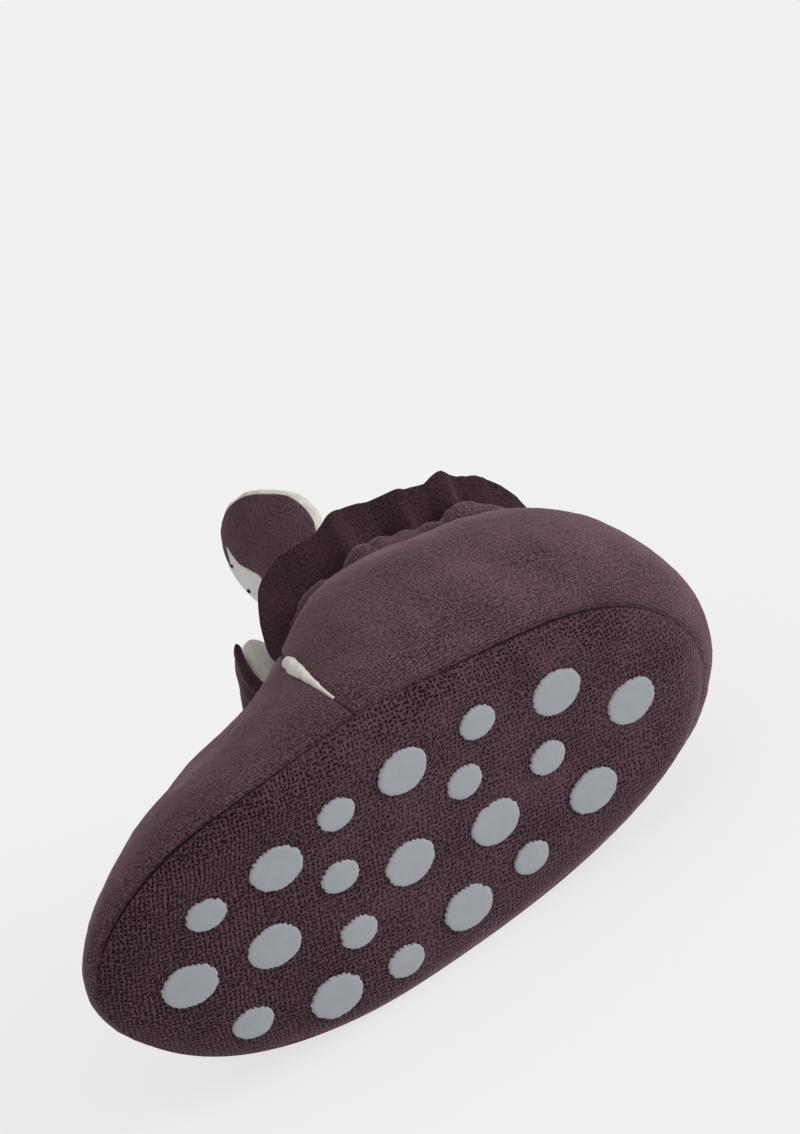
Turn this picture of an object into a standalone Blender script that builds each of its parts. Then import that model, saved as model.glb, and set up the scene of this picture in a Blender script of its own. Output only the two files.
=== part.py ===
"""Soft baby bootie slipper: velour upper lined with fleece, gathered ankle cuff, tongue, sole with grip dots.

The shoe is modelled in its own axes: X from heel to toe, Y towards the wearer's left, Z up from the sole.
Lengths in the tables are millimetres. One empty then lays the finished shoe on its right side.
"""
import math

import bpy
import numpy as np

for old in list(bpy.data.objects):
    bpy.data.objects.remove(old, do_unlink=True)

MM = 0.001

# Named sizes, in millimetres
GAP = 0.3
PAD_GAP = 0.45
WALL = 2.8
SOLE_THICK = 2.4
SOLE_EDGE = 1.2
INSOLE_THICK = 2.2
TONGUE_THICK = 3.2
GRIP_HEIGHT = 0.9
GRIP_LARGE = 9.8
GRIP_SMALL = 7.2
GRIP_NARROW = 0.86
SOLE_MIDDLE = np.array([58.0, -1.0])
LAST_CORE = np.array([58.0, -1.0, 20.0])

# Sole profile: the edge rolls up over ROLL_WIDTH, the inner face meets the seam over LIP_WIDTH,
# and the underside is flat from HEEL_END to FLAT_END, then curves up until SPRING_STOP and runs on straight
ROLL_WIDTH = 7.0
ROLL_POWER = 2.2
LIP_WIDTH = 8.0
LIP_RISE = 4.9
HEEL_END = 16.0
HEEL_CURVE = 0.004
FLAT_END = 62.0
SPRING_STOP = 107.0
SPRING_CURVE = 0.0031

# Slits between vamp and quarter: their stations, half width in stations, and where they start up the rib
SLIT_NEAR = 4.0
SLIT_FAR = 10.0
SLIT_HALF = 0.13
SLIT_START = 0.12
SLIT_FADE = 0.9

# How finely the surfaces are faceted
PER_STATION = 4
RIB_ROWS = 13
CUFF_PER_ROW = 3
CUFF_BANDS = 8
TONGUE_RUNGS = 18
TONGUE_CURLS = 11
GRIP_SIDES = 20
SEAM_SETTLE = 0.25

# How the shoe lies: on its right side, the sole edge and the side of the upper pressed flat on the floor.
# The floor leans this many degrees from upright in the shoe's axes, and lies this far out from its middle line.
FLOOR_LEAN = 10.0
FLOOR_OUT = 27.9

# One row per station round the shoe, from the heel along the left side to the toe and back.
# seam: where upper meets sole. flank, shoulder, neck: how far out of the ring the wall passes, and how high.
# ring: the cinched ankle line, or the throat of the vamp at the front.
LAST_COLUMNS = ("station", "seam_x", "seam_y", "seam_z", "flank_out", "flank_z", "shoulder_r", "shoulder_z",
                "neck_r", "neck_z", "ring_x", "ring_y", "ring_z")
LAST = [
    ("heel", -2.6, -3, 4.5, 15, 11, 18.5, 31, 10, 41, 6, 0, 40),
    ("heel_left", 6.5, 13, 4.0, 13.5, 12, 14.5, 33, 9, 41, 11, 10, 40),
    ("rear_left", 24, 21.4, 3.2, 12, 13, 17, 37, 9, 44, 24, 15, 39),
    ("waist_left", 43, 25, 3.0, 9, 13, 19, 41, 10, 46, 40, 15, 39),
    ("slit_left", 60, 27.3, 3.0, 5, 12, 17, 33, 8, 41, 52, 12, 39),
    ("ball_left", 79, 25.4, 3.8, 5, 14, 21, 32, 8, 37, 56.5, 8, 40.6),
    ("toe_left", 102, 18.4, 8.0, 7, 17, 30, 34.5, 12, 37, 57.6, 3.6, 41.4),
    ("toe", 116.2, -1, 11.8, 6, 20, 33, 35, 15, 36.5, 57.8, 0, 41.6),
    ("toe_right", 103.5, -20.5, 8.0, 8, 12, 30, 36, 12, 37, 57.6, -3.6, 41.4),
    ("ball_right", 80, -27.5, 3.6, 9, 9, 21, 33, 8, 37, 56.5, -8, 40.6),
    ("slit_right", 60, -28.7, 3.0, 8, 9, 17, 33, 8, 41, 52, -12, 39),
    ("waist_right", 42, -28, 3.0, 10, 10, 19, 41, 10, 46, 40, -15, 39),
    ("rear_right", 23, -25, 3.2, 13, 11, 17, 37, 9, 44, 24, -15, 39),
    ("heel_right", 5, -17.4, 4.0, 14, 11, 15, 34, 9, 41, 11, -10, 40),
]

# One row per station of the cuff, from its left front edge round the heel to the flap that crosses the front.
# at: place on the ring in stations of the last. foot: outside the ring, height. bend: outside the ring, height.
# top: the frilled edge. thick: the band there.
CUFF_COLUMNS = ("station", "at", "foot_out", "foot_z", "bend_out", "bend_z", "top_x", "top_y", "top_z", "thick")
CUFF = [
    ("left_edge", 4.2, 3.8, 42.8, 4.0, 46, 51.2, 17.2, 50.2, 2.0),
    ("left_corner", 4.0, 3.0, 41.8, 4.4, 49, 48.8, 19.2, 55.6, 2.4),
    ("left_wing", 3.5, 0.9, 41.8, 3.6, 50, 43.0, 21.0, 58.0, 3.0),
    ("left_dip", 2.95, -0.9, 37.0, 2.6, 48, 36.0, 22.0, 54.4, 3.0),
    ("left_fold", 2.35, -0.9, 36.5, 2.0, 48, 28.0, 22.6, 56.0, 3.0),
    ("left_rear_dip", 1.7, -0.9, 36.0, 1.5, 47, 16.0, 22.2, 51.2, 3.0),
    ("rear_fold", 1.0, -0.9, 36.5, 1.5, 47, 8.0, 20.0, 52.8, 3.0),
    ("heel_left", 0.5, -0.9, 36.5, 1.5, 46, 0.0, 11.5, 50.2, 3.0),
    ("heel", 0.0, -0.9, 36.5, 1.5, 46, -3.0, 0.0, 49.4, 3.0),
    ("heel_right", -0.5, -0.9, 36.5, 1.5, 46, 0.0, -11.5, 50.2, 3.0),
    ("rear_fold_right", -1.0, -0.9, 36.5, 1.5, 47, 8.0, -20.0, 52.4, 3.0),
    ("right_rear_dip", -1.7, -0.9, 36.0, 1.5, 47, 16.5, -22.2, 51.0, 3.0),
    ("right_fold", -2.35, -0.9, 36.5, 2.0, 48, 27.5, -22.6, 55.0, 3.0),
    ("right_dip", -2.95, -0.9, 37.0, 2.6, 48, 36.5, -22.0, 53.6, 3.0),
    ("right_wing", -3.55, 0.9, 41.8, 3.6, 50, 45.5, -20.5, 56.0, 3.0),
    ("right_corner", -4.3, 4.0, 42.4, 5.0, 49, 53.0, -15.0, 56.0, 3.2),
    ("front_flap", -6.2, 4.6, 43.4, 5.2, 50, 58.4, -3.0, 56.6, 3.6),
    ("flap_edge", -9.0, 4.0, 43.4, 4.6, 50, 56.2, 9.2, 57.2, 4.0),
]

# One row per height of the tongue: its front line, half width, how deep it curls back,
# how far it turns to the left in degrees, and where its left and right edges stop, in degrees of the curl
TONGUE_COLUMNS = ("height", "front_x", "front_y", "half_width", "depth", "twist", "left_edge", "right_edge")
TONGUE = [
    (36, 56.2, 0.0, 10.0, 4.4, 0, 88, -88),
    (42, 56.2, 0.4, 10.2, 4.6, 0, 88, -88),
    (50, 52.8, 3.0, 10.6, 6.2, 6, 88, -88),
    (58, 47.6, 6.0, 11.2, 7.8, 14, 88, -88),
    (66, 43.0, 8.8, 11.6, 9.6, 21, 88, -86),
    (73, 40.6, 10.8, 12.0, 10.4, 26, 84, -72),
    (78.5, 39.6, 11.8, 12.0, 10.4, 30, 73, -52),
    (83, 39.0, 12.4, 12.0, 10.4, 32, 51, -31),
    (86, 38.4, 12.8, 12.0, 10.4, 33, 26, -16),
    (87.4, 38.0, 12.8, 12.0, 10.4, 33, 9, -6),
]

# Grip dots on the sole: diameter, place along and across
GRIPS = [
    ("large", 26.4, 10.2), ("large", 14.0, -0.5), ("large", 57.0, 14.3), ("large", 25.8, -12.3),
    ("large", 44.5, -6.1), ("large", 61.2, -3.0), ("large", 83.0, 10.7), ("large", 54.2, -18.4),
    ("large", 87.9, -3.5), ("large", 102.9, -3.2), ("large", 81.2, -19.4),
    ("small", 41.6, 14.2), ("small", 31.8, -0.7), ("small", 47.3, 5.0), ("small", 70.4, 14.3),
    ("small", 40.4, -17.0), ("small", 73.5, 2.6), ("small", 96.4, 8.8), ("small", 73.8, -9.7),
    ("small", 67.9, -20.6), ("small", 95.7, -16.1),
]

COLOURS = {
    "velour": ((0.115, 0.068, 0.082, 1.0), 0.9),
    "sole_velour": ((0.085, 0.048, 0.058, 1.0), 0.9),
    "fleece": ((0.78, 0.74, 0.66, 1.0), 0.95),
    "silicone": ((0.32, 0.34, 0.36, 1.0), 0.4),
}


def smoothstep(t):
    """0 below 0, 1 above 1, an even S between."""
    t = np.clip(t, 0.0, 1.0)
    return t * t * (3.0 - 2.0 * t)


def closed_spline(values, at):
    """Smooth closed curve through equally spaced rows of values, read at any place 'at' counted in rows."""
    v = np.asarray(values, float)
    n = len(v)
    i = np.arange(n)
    system = np.zeros((n, n))
    system[i, i] = 4.0
    system[i, (i + 1) % n] = 1.0
    system[i, (i - 1) % n] = 1.0
    m = np.linalg.solve(system, 6.0 * (np.roll(v, -1, 0) - 2.0 * v + np.roll(v, 1, 0)))
    at = np.asarray(at, float) % n
    k = np.floor(at).astype(int) % n
    f = (at - np.floor(at))[..., None]
    g = 1.0 - f
    after = (k + 1) % n
    return g * v[k] + f * v[after] + ((g ** 3 - g) * m[k] + (f ** 3 - f) * m[after]) / 6.0


def open_spline(values, at):
    """Smooth open curve through rows of values: each span leans on the rows either side of it."""
    v = np.asarray(values, float)
    n = len(v)
    ends = np.vstack([2 * v[0] - v[1], v, 2 * v[-1] - v[-2]])
    at = np.clip(np.asarray(at, float), 0.0, n - 1.0)
    k = np.minimum(np.floor(at).astype(int), n - 2)
    f = (at - k)[..., None]
    a, b, c, d = ends[k], ends[k + 1], ends[k + 2], ends[k + 3]
    return 0.5 * (2 * b + (c - a) * f + (2 * a - 5 * b + 4 * c - d) * f ** 2 + (3 * b - a - 3 * c + d) * f ** 3)


def bezier(points, v):
    """Curve pulled towards a short list of control points, v from 0 to 1 along it."""
    n = len(points) - 1
    total = 0.0
    for i, p in enumerate(points):
        total = total + math.comb(n, i) * v ** i * (1.0 - v) ** (n - i) * p
    return total


def normals(grid, wrap):
    """Unit normals of a grid of points, from the differences along and across it."""
    if wrap:
        along = np.roll(grid, -1, 0) - np.roll(grid, 1, 0)
    else:
        along = np.gradient(grid, axis=0)
    across = np.gradient(grid, axis=1)
    n = np.cross(along, across)
    return n / np.linalg.norm(n, axis=-1, keepdims=True)


def last_rows():
    """The last's table without its station names."""
    return np.array([row[1:] for row in LAST], float)


def ring_frame(at):
    """Point of the ring and the level direction out of it, towards the seam."""
    c = closed_spline(last_rows(), at)
    ring = c[..., 9:12]
    out = c[..., 0:2] - ring[..., 0:2]
    out = out / np.linalg.norm(out, axis=-1, keepdims=True)
    return ring, out


def upper_surface(u, v):
    """Outer face of the upper: at station u, a rib from the seam (v = 0) to the ring (v = 1)."""
    c = closed_spline(last_rows(), u)
    seam, ring = c[..., 0:3], c[..., 9:12]
    out = seam[..., 0:2] - ring[..., 0:2]
    reach = np.linalg.norm(out, axis=-1, keepdims=True)
    out = out / reach
    v = v[..., None]
    r = bezier([reach, reach + c[..., 3:4], c[..., 5:6], c[..., 7:8], 0.0 * reach], v)
    z = bezier([seam[..., 2:3], c[..., 4:5], c[..., 6:7], c[..., 8:9], ring[..., 2:3]], v)
    return np.concatenate([ring[..., 0:2] + out * r, z], axis=-1)


def press(points):
    """Soft side pressed flat: what would pass through the floor stays on it."""
    lean = math.radians(FLOOR_LEAN)
    down = np.array([0.0, -math.cos(lean), -math.sin(lean)])
    beyond = np.clip(points @ down - FLOOR_OUT, 0.0, None)
    return points - beyond[..., None] * down


def rocker(x):
    """Height of the underside on the middle line: flat under heel and arch, curved up under the toes."""
    x = np.asarray(x, float)
    bend = SPRING_CURVE * np.clip(x - FLAT_END, 0.0, SPRING_STOP - FLAT_END) ** 2
    lift = 2.0 * SPRING_CURVE * (SPRING_STOP - FLAT_END) * np.clip(x - SPRING_STOP, 0.0, None)
    heel = HEEL_CURVE * np.clip(HEEL_END - x, 0.0, None) ** 2
    return bend + lift + heel


def outline(u):
    """Seam points of the sole and the level direction into it."""
    seam = closed_spline(last_rows(), u)[..., 0:3]
    along = np.roll(seam, -1, 0) - np.roll(seam, 1, 0)
    along = along / np.linalg.norm(along[:, 0:2], axis=1)[:, None]
    inward = np.stack([along[:, 1], -along[:, 0]], axis=1)
    flip = np.sign(np.sum((SOLE_MIDDLE - seam[:, 0:2]) * inward, axis=1))
    return seam, inward * flip[:, None]


def sole_rings(u, insets, shrinks):
    """Level rings inside the outline: first at set distances in, then the last of them shrunk to the middle."""
    seam, inward = outline(u)
    rings = [seam[:, 0:2] + inward * d for d in insets]
    for s in shrinks:
        rings.append(SOLE_MIDDLE + (rings[len(insets) - 1] - SOLE_MIDDLE) * s)
    return seam, np.stack(rings, axis=1)


def underside(xy, seam_z, inset):
    """Height of the sole's underside: the rocker, rolled up to the seam within ROLL_WIDTH of the edge."""
    base = rocker(xy[..., 0])
    rise = np.clip(1.0 - inset / ROLL_WIDTH, 0.0, 1.0) ** ROLL_POWER
    return base + (seam_z - GAP - SOLE_EDGE - base) * rise


def topside(xy, seam_z, inset):
    """Height of the sole's inner face: level with the seam at the edge, then a shallow dish."""
    base = rocker(xy[..., 0]) + SOLE_THICK
    rise = smoothstep((LIP_WIDTH - inset) / LIP_RISE)
    return base + (seam_z - GAP - base) * rise


def volume(verts, faces):
    """Signed volume inside the faces: negative where they are turned inwards."""
    total = 0.0
    for face in faces:
        a = verts[face[0]]
        for i in range(1, len(face) - 1):
            total += np.dot(a, np.cross(verts[face[i]], verts[face[i + 1]]))
    return total / 6.0


MATERIALS = {}


def material(kind):
    """The finish of one kind of cloth or rubber, made once."""
    if kind not in MATERIALS:
        m = bpy.data.materials.new(kind)
        m.use_nodes = True
        shader = m.node_tree.nodes["Principled BSDF"]
        shader.inputs["Base Color"].default_value = COLOURS[kind][0]
        shader.inputs["Roughness"].default_value = COLOURS[kind][1]
        MATERIALS[kind] = m
    return MATERIALS[kind]


def solid(name, verts, faces, kind):
    """One closed body from points in millimetres, its faces turned outwards."""
    if volume(verts, faces) < 0.0:
        faces = [face[::-1] for face in faces]
    mesh = bpy.data.meshes.new(name)
    mesh.from_pydata((verts * MM).tolist(), [], faces)
    mesh.validate()
    for face in mesh.polygons:
        face.use_smooth = True
    own = material(kind).copy()
    own.name = name + "_" + kind
    mesh.materials.append(own)
    body = bpy.data.objects.new(name, mesh)
    parts.objects.link(body)
    body.parent = lie
    return body


def shell(name, outer, inner, keep, wrap, kind):
    """Wall between two matching grids: both faces where 'keep' is true, and a rim along every free edge."""
    nu, nv = outer.shape[0:2]
    verts = np.concatenate([outer.reshape(-1, 3), inner.reshape(-1, 3)])
    second = nu * nv
    cells = keep.shape[0]
    faces = []
    for i in range(cells):
        j = (i + 1) % nu
        for k in range(nv - 1):
            if not keep[i, k]:
                continue
            ring = [i * nv + k, j * nv + k, j * nv + k + 1, i * nv + k + 1]
            faces.append(tuple(ring))
            faces.append(tuple(q + second for q in ring[::-1]))
            before = (i - 1) % cells if wrap else i - 1
            after = (i + 1) % cells if wrap else i + 1
            open_sides = [
                k == 0 or not keep[i, k - 1],
                after >= cells or not keep[after, k],
                k == nv - 2 or not keep[i, k + 1],
                before < 0 or not keep[before, k],
            ]
            for side, is_open in enumerate(open_sides):
                if is_open:
                    a, b = ring[side], ring[(side + 1) % 4]
                    faces.append((b, a, a + second, b + second))
    used = sorted({q for face in faces for q in face})
    place = {q: n for n, q in enumerate(used)}
    faces = [tuple(place[q] for q in face) for face in faces]
    return solid(name, verts[used], faces, kind)


def plate(name, low, high, kind):
    """Flat-lying body between two matching sets of closed rings, each closed by a fan at its middle."""
    nu, nr = low.shape[0:2]
    verts = np.concatenate([low.reshape(-1, 3), high.reshape(-1, 3),
                            low[:, -1].mean(0)[None], high[:, -1].mean(0)[None]])
    second = nu * nr
    low_middle = 2 * second
    high_middle = low_middle + 1
    faces = []
    for i in range(nu):
        j = (i + 1) % nu
        for k in range(nr - 1):
            ring = (i * nr + k, i * nr + k + 1, j * nr + k + 1, j * nr + k)
            faces.append(ring)
            faces.append(tuple(q + second for q in ring[::-1]))
        faces.append((i * nr + nr - 1, low_middle, j * nr + nr - 1))
        faces.append((j * nr + nr - 1 + second, high_middle, i * nr + nr - 1 + second))
        faces.append((i * nr, j * nr, j * nr + second, i * nr + second))
    return solid(name, verts, faces, kind)


parts = bpy.data.collections.new("bootie_slipper")
bpy.context.scene.collection.children.link(parts)
lie = bpy.data.objects.new("lying_on_right_side", None)
parts.objects.link(lie)

# Sole: outline of the last, rolled edge, toe spring
count = len(LAST)
around = np.arange(count * PER_STATION) / PER_STATION
insets = [0.0, 1.4, 3.1, 5.0, 8.0]
shrinks = [0.75, 0.5, 0.25]
inset_of = np.array(insets + [2.0 * LIP_WIDTH] * len(shrinks))
seam, rings = sole_rings(around, insets, shrinks)
seam_z = seam[:, None, 2]
low = press(np.concatenate([rings, underside(rings, seam_z, inset_of[None])[..., None]], axis=2))
high = press(np.concatenate([rings, topside(rings, seam_z, inset_of[None])[..., None]], axis=2))
plate("sole", low, high, "sole_velour")

# Insole: a fleece pad on the sole, inside the wall of the upper
pad = high[:, 2:].copy()
pad[..., 2] += PAD_GAP
pad_top = pad.copy()
pad_top[..., 2] += INSOLE_THICK
plate("insole", pad, pad_top, "fleece")

# Upper: one hollow wall from seam to ring, with a narrow V slit on each side between vamp and quarter
rows = np.linspace(0.0, 1.0, RIB_ROWS)
keys = []
for n in range(count * PER_STATION):
    at = n / PER_STATION
    if at in (SLIT_NEAR, SLIT_FAR):
        keys.extend([(at, -1.0), (at, 1.0)])
    else:
        keys.append((at, 0.0))
base_u = np.array([k[0] for k in keys])
side = np.array([k[1] for k in keys])
open_by = SLIT_HALF * smoothstep(rows / SLIT_FADE)
u = base_u[:, None] + side[:, None] * open_by[None]
v = np.broadcast_to(rows, u.shape)
outer = press(upper_surface(u, v))
n = normals(outer, True)
n *= np.sign(np.sum(n[:, 2] * (outer[:, 2] - LAST_CORE), axis=-1))[:, None, None]
flat = smoothstep(rows / SEAM_SETTLE)[None, :, None]
n[..., 2:3] *= flat
n /= np.linalg.norm(n, axis=-1, keepdims=True)
inner = outer - WALL * n
keep = np.ones((len(keys), len(rows) - 1), bool)
for i, key in enumerate(keys):
    if key[1] < 0:
        keep[i, rows[:-1] >= SLIT_START] = False
shell("upper", outer, inner, keep, True, "velour")

# Cuff: gathered band that stands in the ring, spreads to a frilled edge, and crosses the front as a flap
cuff = np.array([row[1:] for row in CUFF], float)
steps = np.linspace(0.0, len(cuff) - 1.0, (len(cuff) - 1) * CUFF_PER_ROW + 1)
c = open_spline(cuff, steps)
ring, out = ring_frame(c[:, 0])
foot = np.column_stack([ring[:, 0:2] + out * c[:, 1:2], c[:, 2]])
bend = np.column_stack([ring[:, 0:2] + out * c[:, 3:4], c[:, 4]])
rise = np.column_stack([ring[:, 0:2] + out * c[:, 1:2], 0.6 * c[:, 2] + 0.4 * c[:, 4]])
top = c[:, 5:8]
band = np.linspace(0.0, 1.0, CUFF_BANDS)[None, :, None]
outer = bezier([foot[:, None], rise[:, None], bend[:, None], top[:, None]], band)
level = np.stack([-out[:, 1], out[:, 0], 0.0 * out[:, 0]], axis=1)[:, None]
n = np.cross(level, np.gradient(outer, axis=1))
n /= np.linalg.norm(n, axis=-1, keepdims=True)
inner = outer - c[:, 8:9, None] * n
shell("cuff", outer, inner, np.ones((len(steps) - 1, CUFF_BANDS - 1), bool), False, "velour")

# Tongue: a curled flap that stands inside the front of the ring and turns a little to the left
tongue = np.array(TONGUE, float)


def tongue_surface(row, curl):
    """Outer face of the tongue: 'row' counts rows of the table, 'curl' is the angle round its section."""
    t = open_spline(tongue, row)
    back = -t[..., 4] * (1.0 - np.cos(curl))
    across = t[..., 3] * np.sin(curl)
    twist = np.radians(t[..., 5])
    x = t[..., 1] + back * np.cos(twist) - across * np.sin(twist)
    y = t[..., 2] + back * np.sin(twist) + across * np.cos(twist)
    return np.stack([x, y, t[..., 0]], axis=-1)


row = np.linspace(0.0, len(tongue) - 1.0, TONGUE_RUNGS)
edges = np.radians(open_spline(tongue, row)[:, 6:8])
curl = edges[:, 1:2] + np.linspace(0.0, 1.0, TONGUE_CURLS)[None] * (edges[:, 0:1] - edges[:, 1:2])
row = np.broadcast_to(row[:, None], curl.shape)
outer = tongue_surface(row, curl)
up = tongue_surface(row + 0.05, curl) - tongue_surface(row - 0.05, curl)
round_it = tongue_surface(row, curl + 0.05) - tongue_surface(row, curl - 0.05)
n = np.cross(round_it, up)
n /= np.linalg.norm(n, axis=-1, keepdims=True)
inner = outer - TONGUE_THICK * n
shell("tongue", outer, inner, np.ones((TONGUE_RUNGS - 1, TONGUE_CURLS - 1), bool), False, "velour")

# Grip dots: low domed discs that follow the underside
number = 0
for size, gx, gy in GRIPS:
    number += 1
    radius = 0.5 * (GRIP_LARGE if size == "large" else GRIP_SMALL)
    turn = np.arange(GRIP_SIDES) * math.tau / GRIP_SIDES
    circle = np.stack([np.cos(turn), np.sin(turn)], axis=1)
    xy = np.array([gx, gy]) + circle[:, None] * radius * np.array([1.0, GRIP_NARROW])[None, :, None]
    high = np.concatenate([xy, rocker(xy[..., 0:1]) - GAP], axis=2)
    low = high.copy()
    low[:, 0, 2] -= 0.5 * GRIP_HEIGHT
    low[:, 1, 2] -= GRIP_HEIGHT
    plate("grip_%02d_%s" % (number, size), low, high, "silicone")

# Lay the shoe down, sole to the front and toe to the left, then bring the bottom centre of its box to the origin
lie.rotation_euler = (math.radians(90.0 - FLOOR_LEAN), 0.0, math.pi)
bpy.context.view_layer.update()
corners = np.array([tuple(lie.matrix_world @ p.co)
                    for body in parts.objects if body.type == "MESH" for p in body.data.vertices])
lowest, highest = corners.min(0), corners.max(0)
lie.location = (-(lowest[0] + highest[0]) / 2, -(lowest[1] + highest[1]) / 2, -lowest[2])
bpy.context.view_layer.update()
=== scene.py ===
# %% [markdown]
# # A baby's bootie slipper in velour and fleece
# The shoe is a soft bag for a foot: a velour vamp and quarter over a fleece lining, a gathered ankle cuff,
# a long tongue, and a sole with printed silicone dots. It lies on its right side, sole towards the viewer.
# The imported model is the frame: each soft piece below is worked out again, finely, from the same few
# measurements, and takes the place of the coarse solid that stands for it.

import math

import bpy
import numpy as np
from mathutils import Matrix, Vector


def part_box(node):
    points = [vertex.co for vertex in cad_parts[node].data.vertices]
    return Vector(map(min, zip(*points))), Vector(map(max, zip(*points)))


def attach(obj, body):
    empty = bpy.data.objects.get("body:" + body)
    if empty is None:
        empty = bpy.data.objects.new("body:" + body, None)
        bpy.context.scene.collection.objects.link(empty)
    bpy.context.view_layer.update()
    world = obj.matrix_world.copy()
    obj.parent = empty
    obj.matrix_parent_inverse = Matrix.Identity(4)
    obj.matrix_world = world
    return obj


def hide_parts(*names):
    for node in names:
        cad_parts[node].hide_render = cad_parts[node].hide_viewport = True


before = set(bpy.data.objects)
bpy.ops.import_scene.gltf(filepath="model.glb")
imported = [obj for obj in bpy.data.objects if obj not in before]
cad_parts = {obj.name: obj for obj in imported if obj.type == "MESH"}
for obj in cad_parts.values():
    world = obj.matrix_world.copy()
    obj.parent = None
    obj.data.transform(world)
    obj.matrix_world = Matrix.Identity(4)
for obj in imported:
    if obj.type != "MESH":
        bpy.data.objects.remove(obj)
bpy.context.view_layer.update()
MM = 0.001

# %% [markdown]
# ## The last
# A shoemaker starts from a last, the solid foot that everything is shaped over. Here it is a table: at each
# of fourteen stations round the shoe, where the seam of the sole runs, how far the wall swells out of the
# ankle ring and how high, and where the ring itself is. All lengths are millimetres, with X from heel to
# toe, Y towards the wearer's left and Z up from the sole.

# %% Measurements of the last
# columns: seam x, y, z; flank out, z; shoulder reach, z; neck reach, z; ring x, y, z
LAST = np.array([
    (-2.6, -3, 4.5, 15, 11, 18.5, 31, 10, 41, 6, 0, 40),
    (6.5, 13, 4.0, 13.5, 12, 14.5, 33, 9, 41, 11, 10, 40),
    (24, 21.4, 3.2, 12, 13, 17, 37, 9, 44, 24, 15, 39),
    (43, 25, 3.0, 9, 13, 19, 41, 10, 46, 40, 15, 39),
    (60, 27.3, 3.0, 5, 12, 17, 33, 8, 41, 52, 12, 39),
    (79, 25.4, 3.8, 5, 14, 21, 32, 8, 37, 56.5, 8, 40.6),
    (102, 18.4, 8.0, 7, 17, 30, 34.5, 12, 37, 57.6, 3.6, 41.4),
    (116.2, -1, 11.8, 6, 20, 33, 35, 15, 36.5, 57.8, 0, 41.6),
    (103.5, -20.5, 8.0, 8, 12, 30, 36, 12, 37, 57.6, -3.6, 41.4),
    (80, -27.5, 3.6, 9, 9, 21, 33, 8, 37, 56.5, -8, 40.6),
    (60, -28.7, 3.0, 8, 9, 17, 33, 8, 41, 52, -12, 39),
    (42, -28, 3.0, 10, 10, 19, 41, 10, 46, 40, -15, 39),
    (23, -25, 3.2, 13, 11, 17, 37, 9, 44, 24, -15, 39),
    (5, -17.4, 4.0, 14, 11, 15, 34, 9, 41, 11, -10, 40),
])
STATIONS = len(LAST)
SLIT_LEFT, SLIT_RIGHT = 4, 10
GAP = 0.3
SKIN = 1.3
LINING = 1.3
SOLE_EDGE = 1.2
SOLE_THICK = 2.4
MIDDLE = np.array([58.0, -1.0])


def closed_spline(values, at):
    """Smooth closed curve through equally spaced rows, read at any place counted in rows.

    Between two rows the value is the straight mix of them plus a cubic in the second slopes m, which solve
    m[i-1] + 4 m[i] + m[i+1] = 6 (value[i-1] - 2 value[i] + value[i+1]) all the way round."""
    n = len(values)
    i = np.arange(n)
    system = np.zeros((n, n))
    system[i, i] = 4.0
    system[i, (i + 1) % n] = 1.0
    system[i, (i - 1) % n] = 1.0
    m = np.linalg.solve(system, 6.0 * (np.roll(values, -1, 0) - 2.0 * values + np.roll(values, 1, 0)))
    at = np.asarray(at, float) % n
    k = np.floor(at).astype(int) % n
    f = (at - np.floor(at))[..., None]
    g = 1.0 - f
    after = (k + 1) % n
    return g * values[k] + f * values[after] + ((g ** 3 - g) * m[k] + (f ** 3 - f) * m[after]) / 6.0


def open_spline(values, at):
    """Smooth open curve through rows of values: in each span, a cubic whose end slopes are half the step
    from the row before to the row after."""
    values = np.asarray(values, float)
    n = len(values)
    ends = np.vstack([2 * values[0] - values[1], values, 2 * values[-1] - values[-2]])
    at = np.clip(np.asarray(at, float), 0.0, n - 1.0)
    k = np.minimum(np.floor(at).astype(int), n - 2)
    f = (at - k)[..., None]
    a, b, c, d = ends[k], ends[k + 1], ends[k + 2], ends[k + 3]
    square = (2 * a - 5 * b + 4 * c - d) * f ** 2
    cube = (3 * b - a - 3 * c + d) * f ** 3
    return 0.5 * (2 * b + (c - a) * f + square + cube)


def bezier(points, v):
    """Curve pulled by control points: the sum of each point times its share C(n, i) v^i (1 - v)^(n - i)."""
    n = len(points) - 1
    return sum(math.comb(n, i) * v ** i * (1.0 - v) ** (n - i) * p for i, p in enumerate(points))


def smoothstep(t):
    """0 below 0, 1 above 1 and 3t^2 - 2t^3 between."""
    t = np.clip(t, 0.0, 1.0)
    return t * t * (3.0 - 2.0 * t)


def quarter_round(t):
    """Height of a quarter circle, steep at 0 and level at 1, where it stays."""
    return np.sqrt(1.0 - (1.0 - np.clip(t, 0.0, 1.0)) ** 2)


def last_surface(u, v):
    """Outer face of the upper: station u round the shoe, and v from the seam (0) up and over to the ring (1).

    A rib is a curve of five control points that starts at the seam, swells past it, rises over the shoulder
    and neck, and comes back level to the ring."""
    c = closed_spline(LAST, u)
    seam, ring = c[..., 0:3], c[..., 9:12]
    out = seam[..., 0:2] - ring[..., 0:2]
    reach = np.linalg.norm(out, axis=-1, keepdims=True)
    out = out / reach
    v = np.asarray(v, float)[..., None]
    r = bezier([reach, reach + c[..., 3:4], c[..., 5:6], c[..., 7:8], 0.0 * reach], v)
    z = bezier([seam[..., 2:3], c[..., 4:5], c[..., 6:7], c[..., 8:9], ring[..., 2:3]], v)
    return np.concatenate([ring[..., 0:2] + out * r, z], axis=-1)


rib = last_surface(np.full(3, 3.0), np.array([0.0, 0.5, 1.0]))
print("rib at the left waist, mm:", rib.round(1).tolist())

# %% [markdown]
# ## How it lies
# Nothing in such a soft shoe is stiff, so the side it lies on is pressed flat. The floor is a plane in the
# shoe's own axes, and any point beyond it is brought back onto it. The same turn that laid the solids down
# then carries each finished piece, and one grip dot of the frame tells how far it has to be moved.

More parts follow.
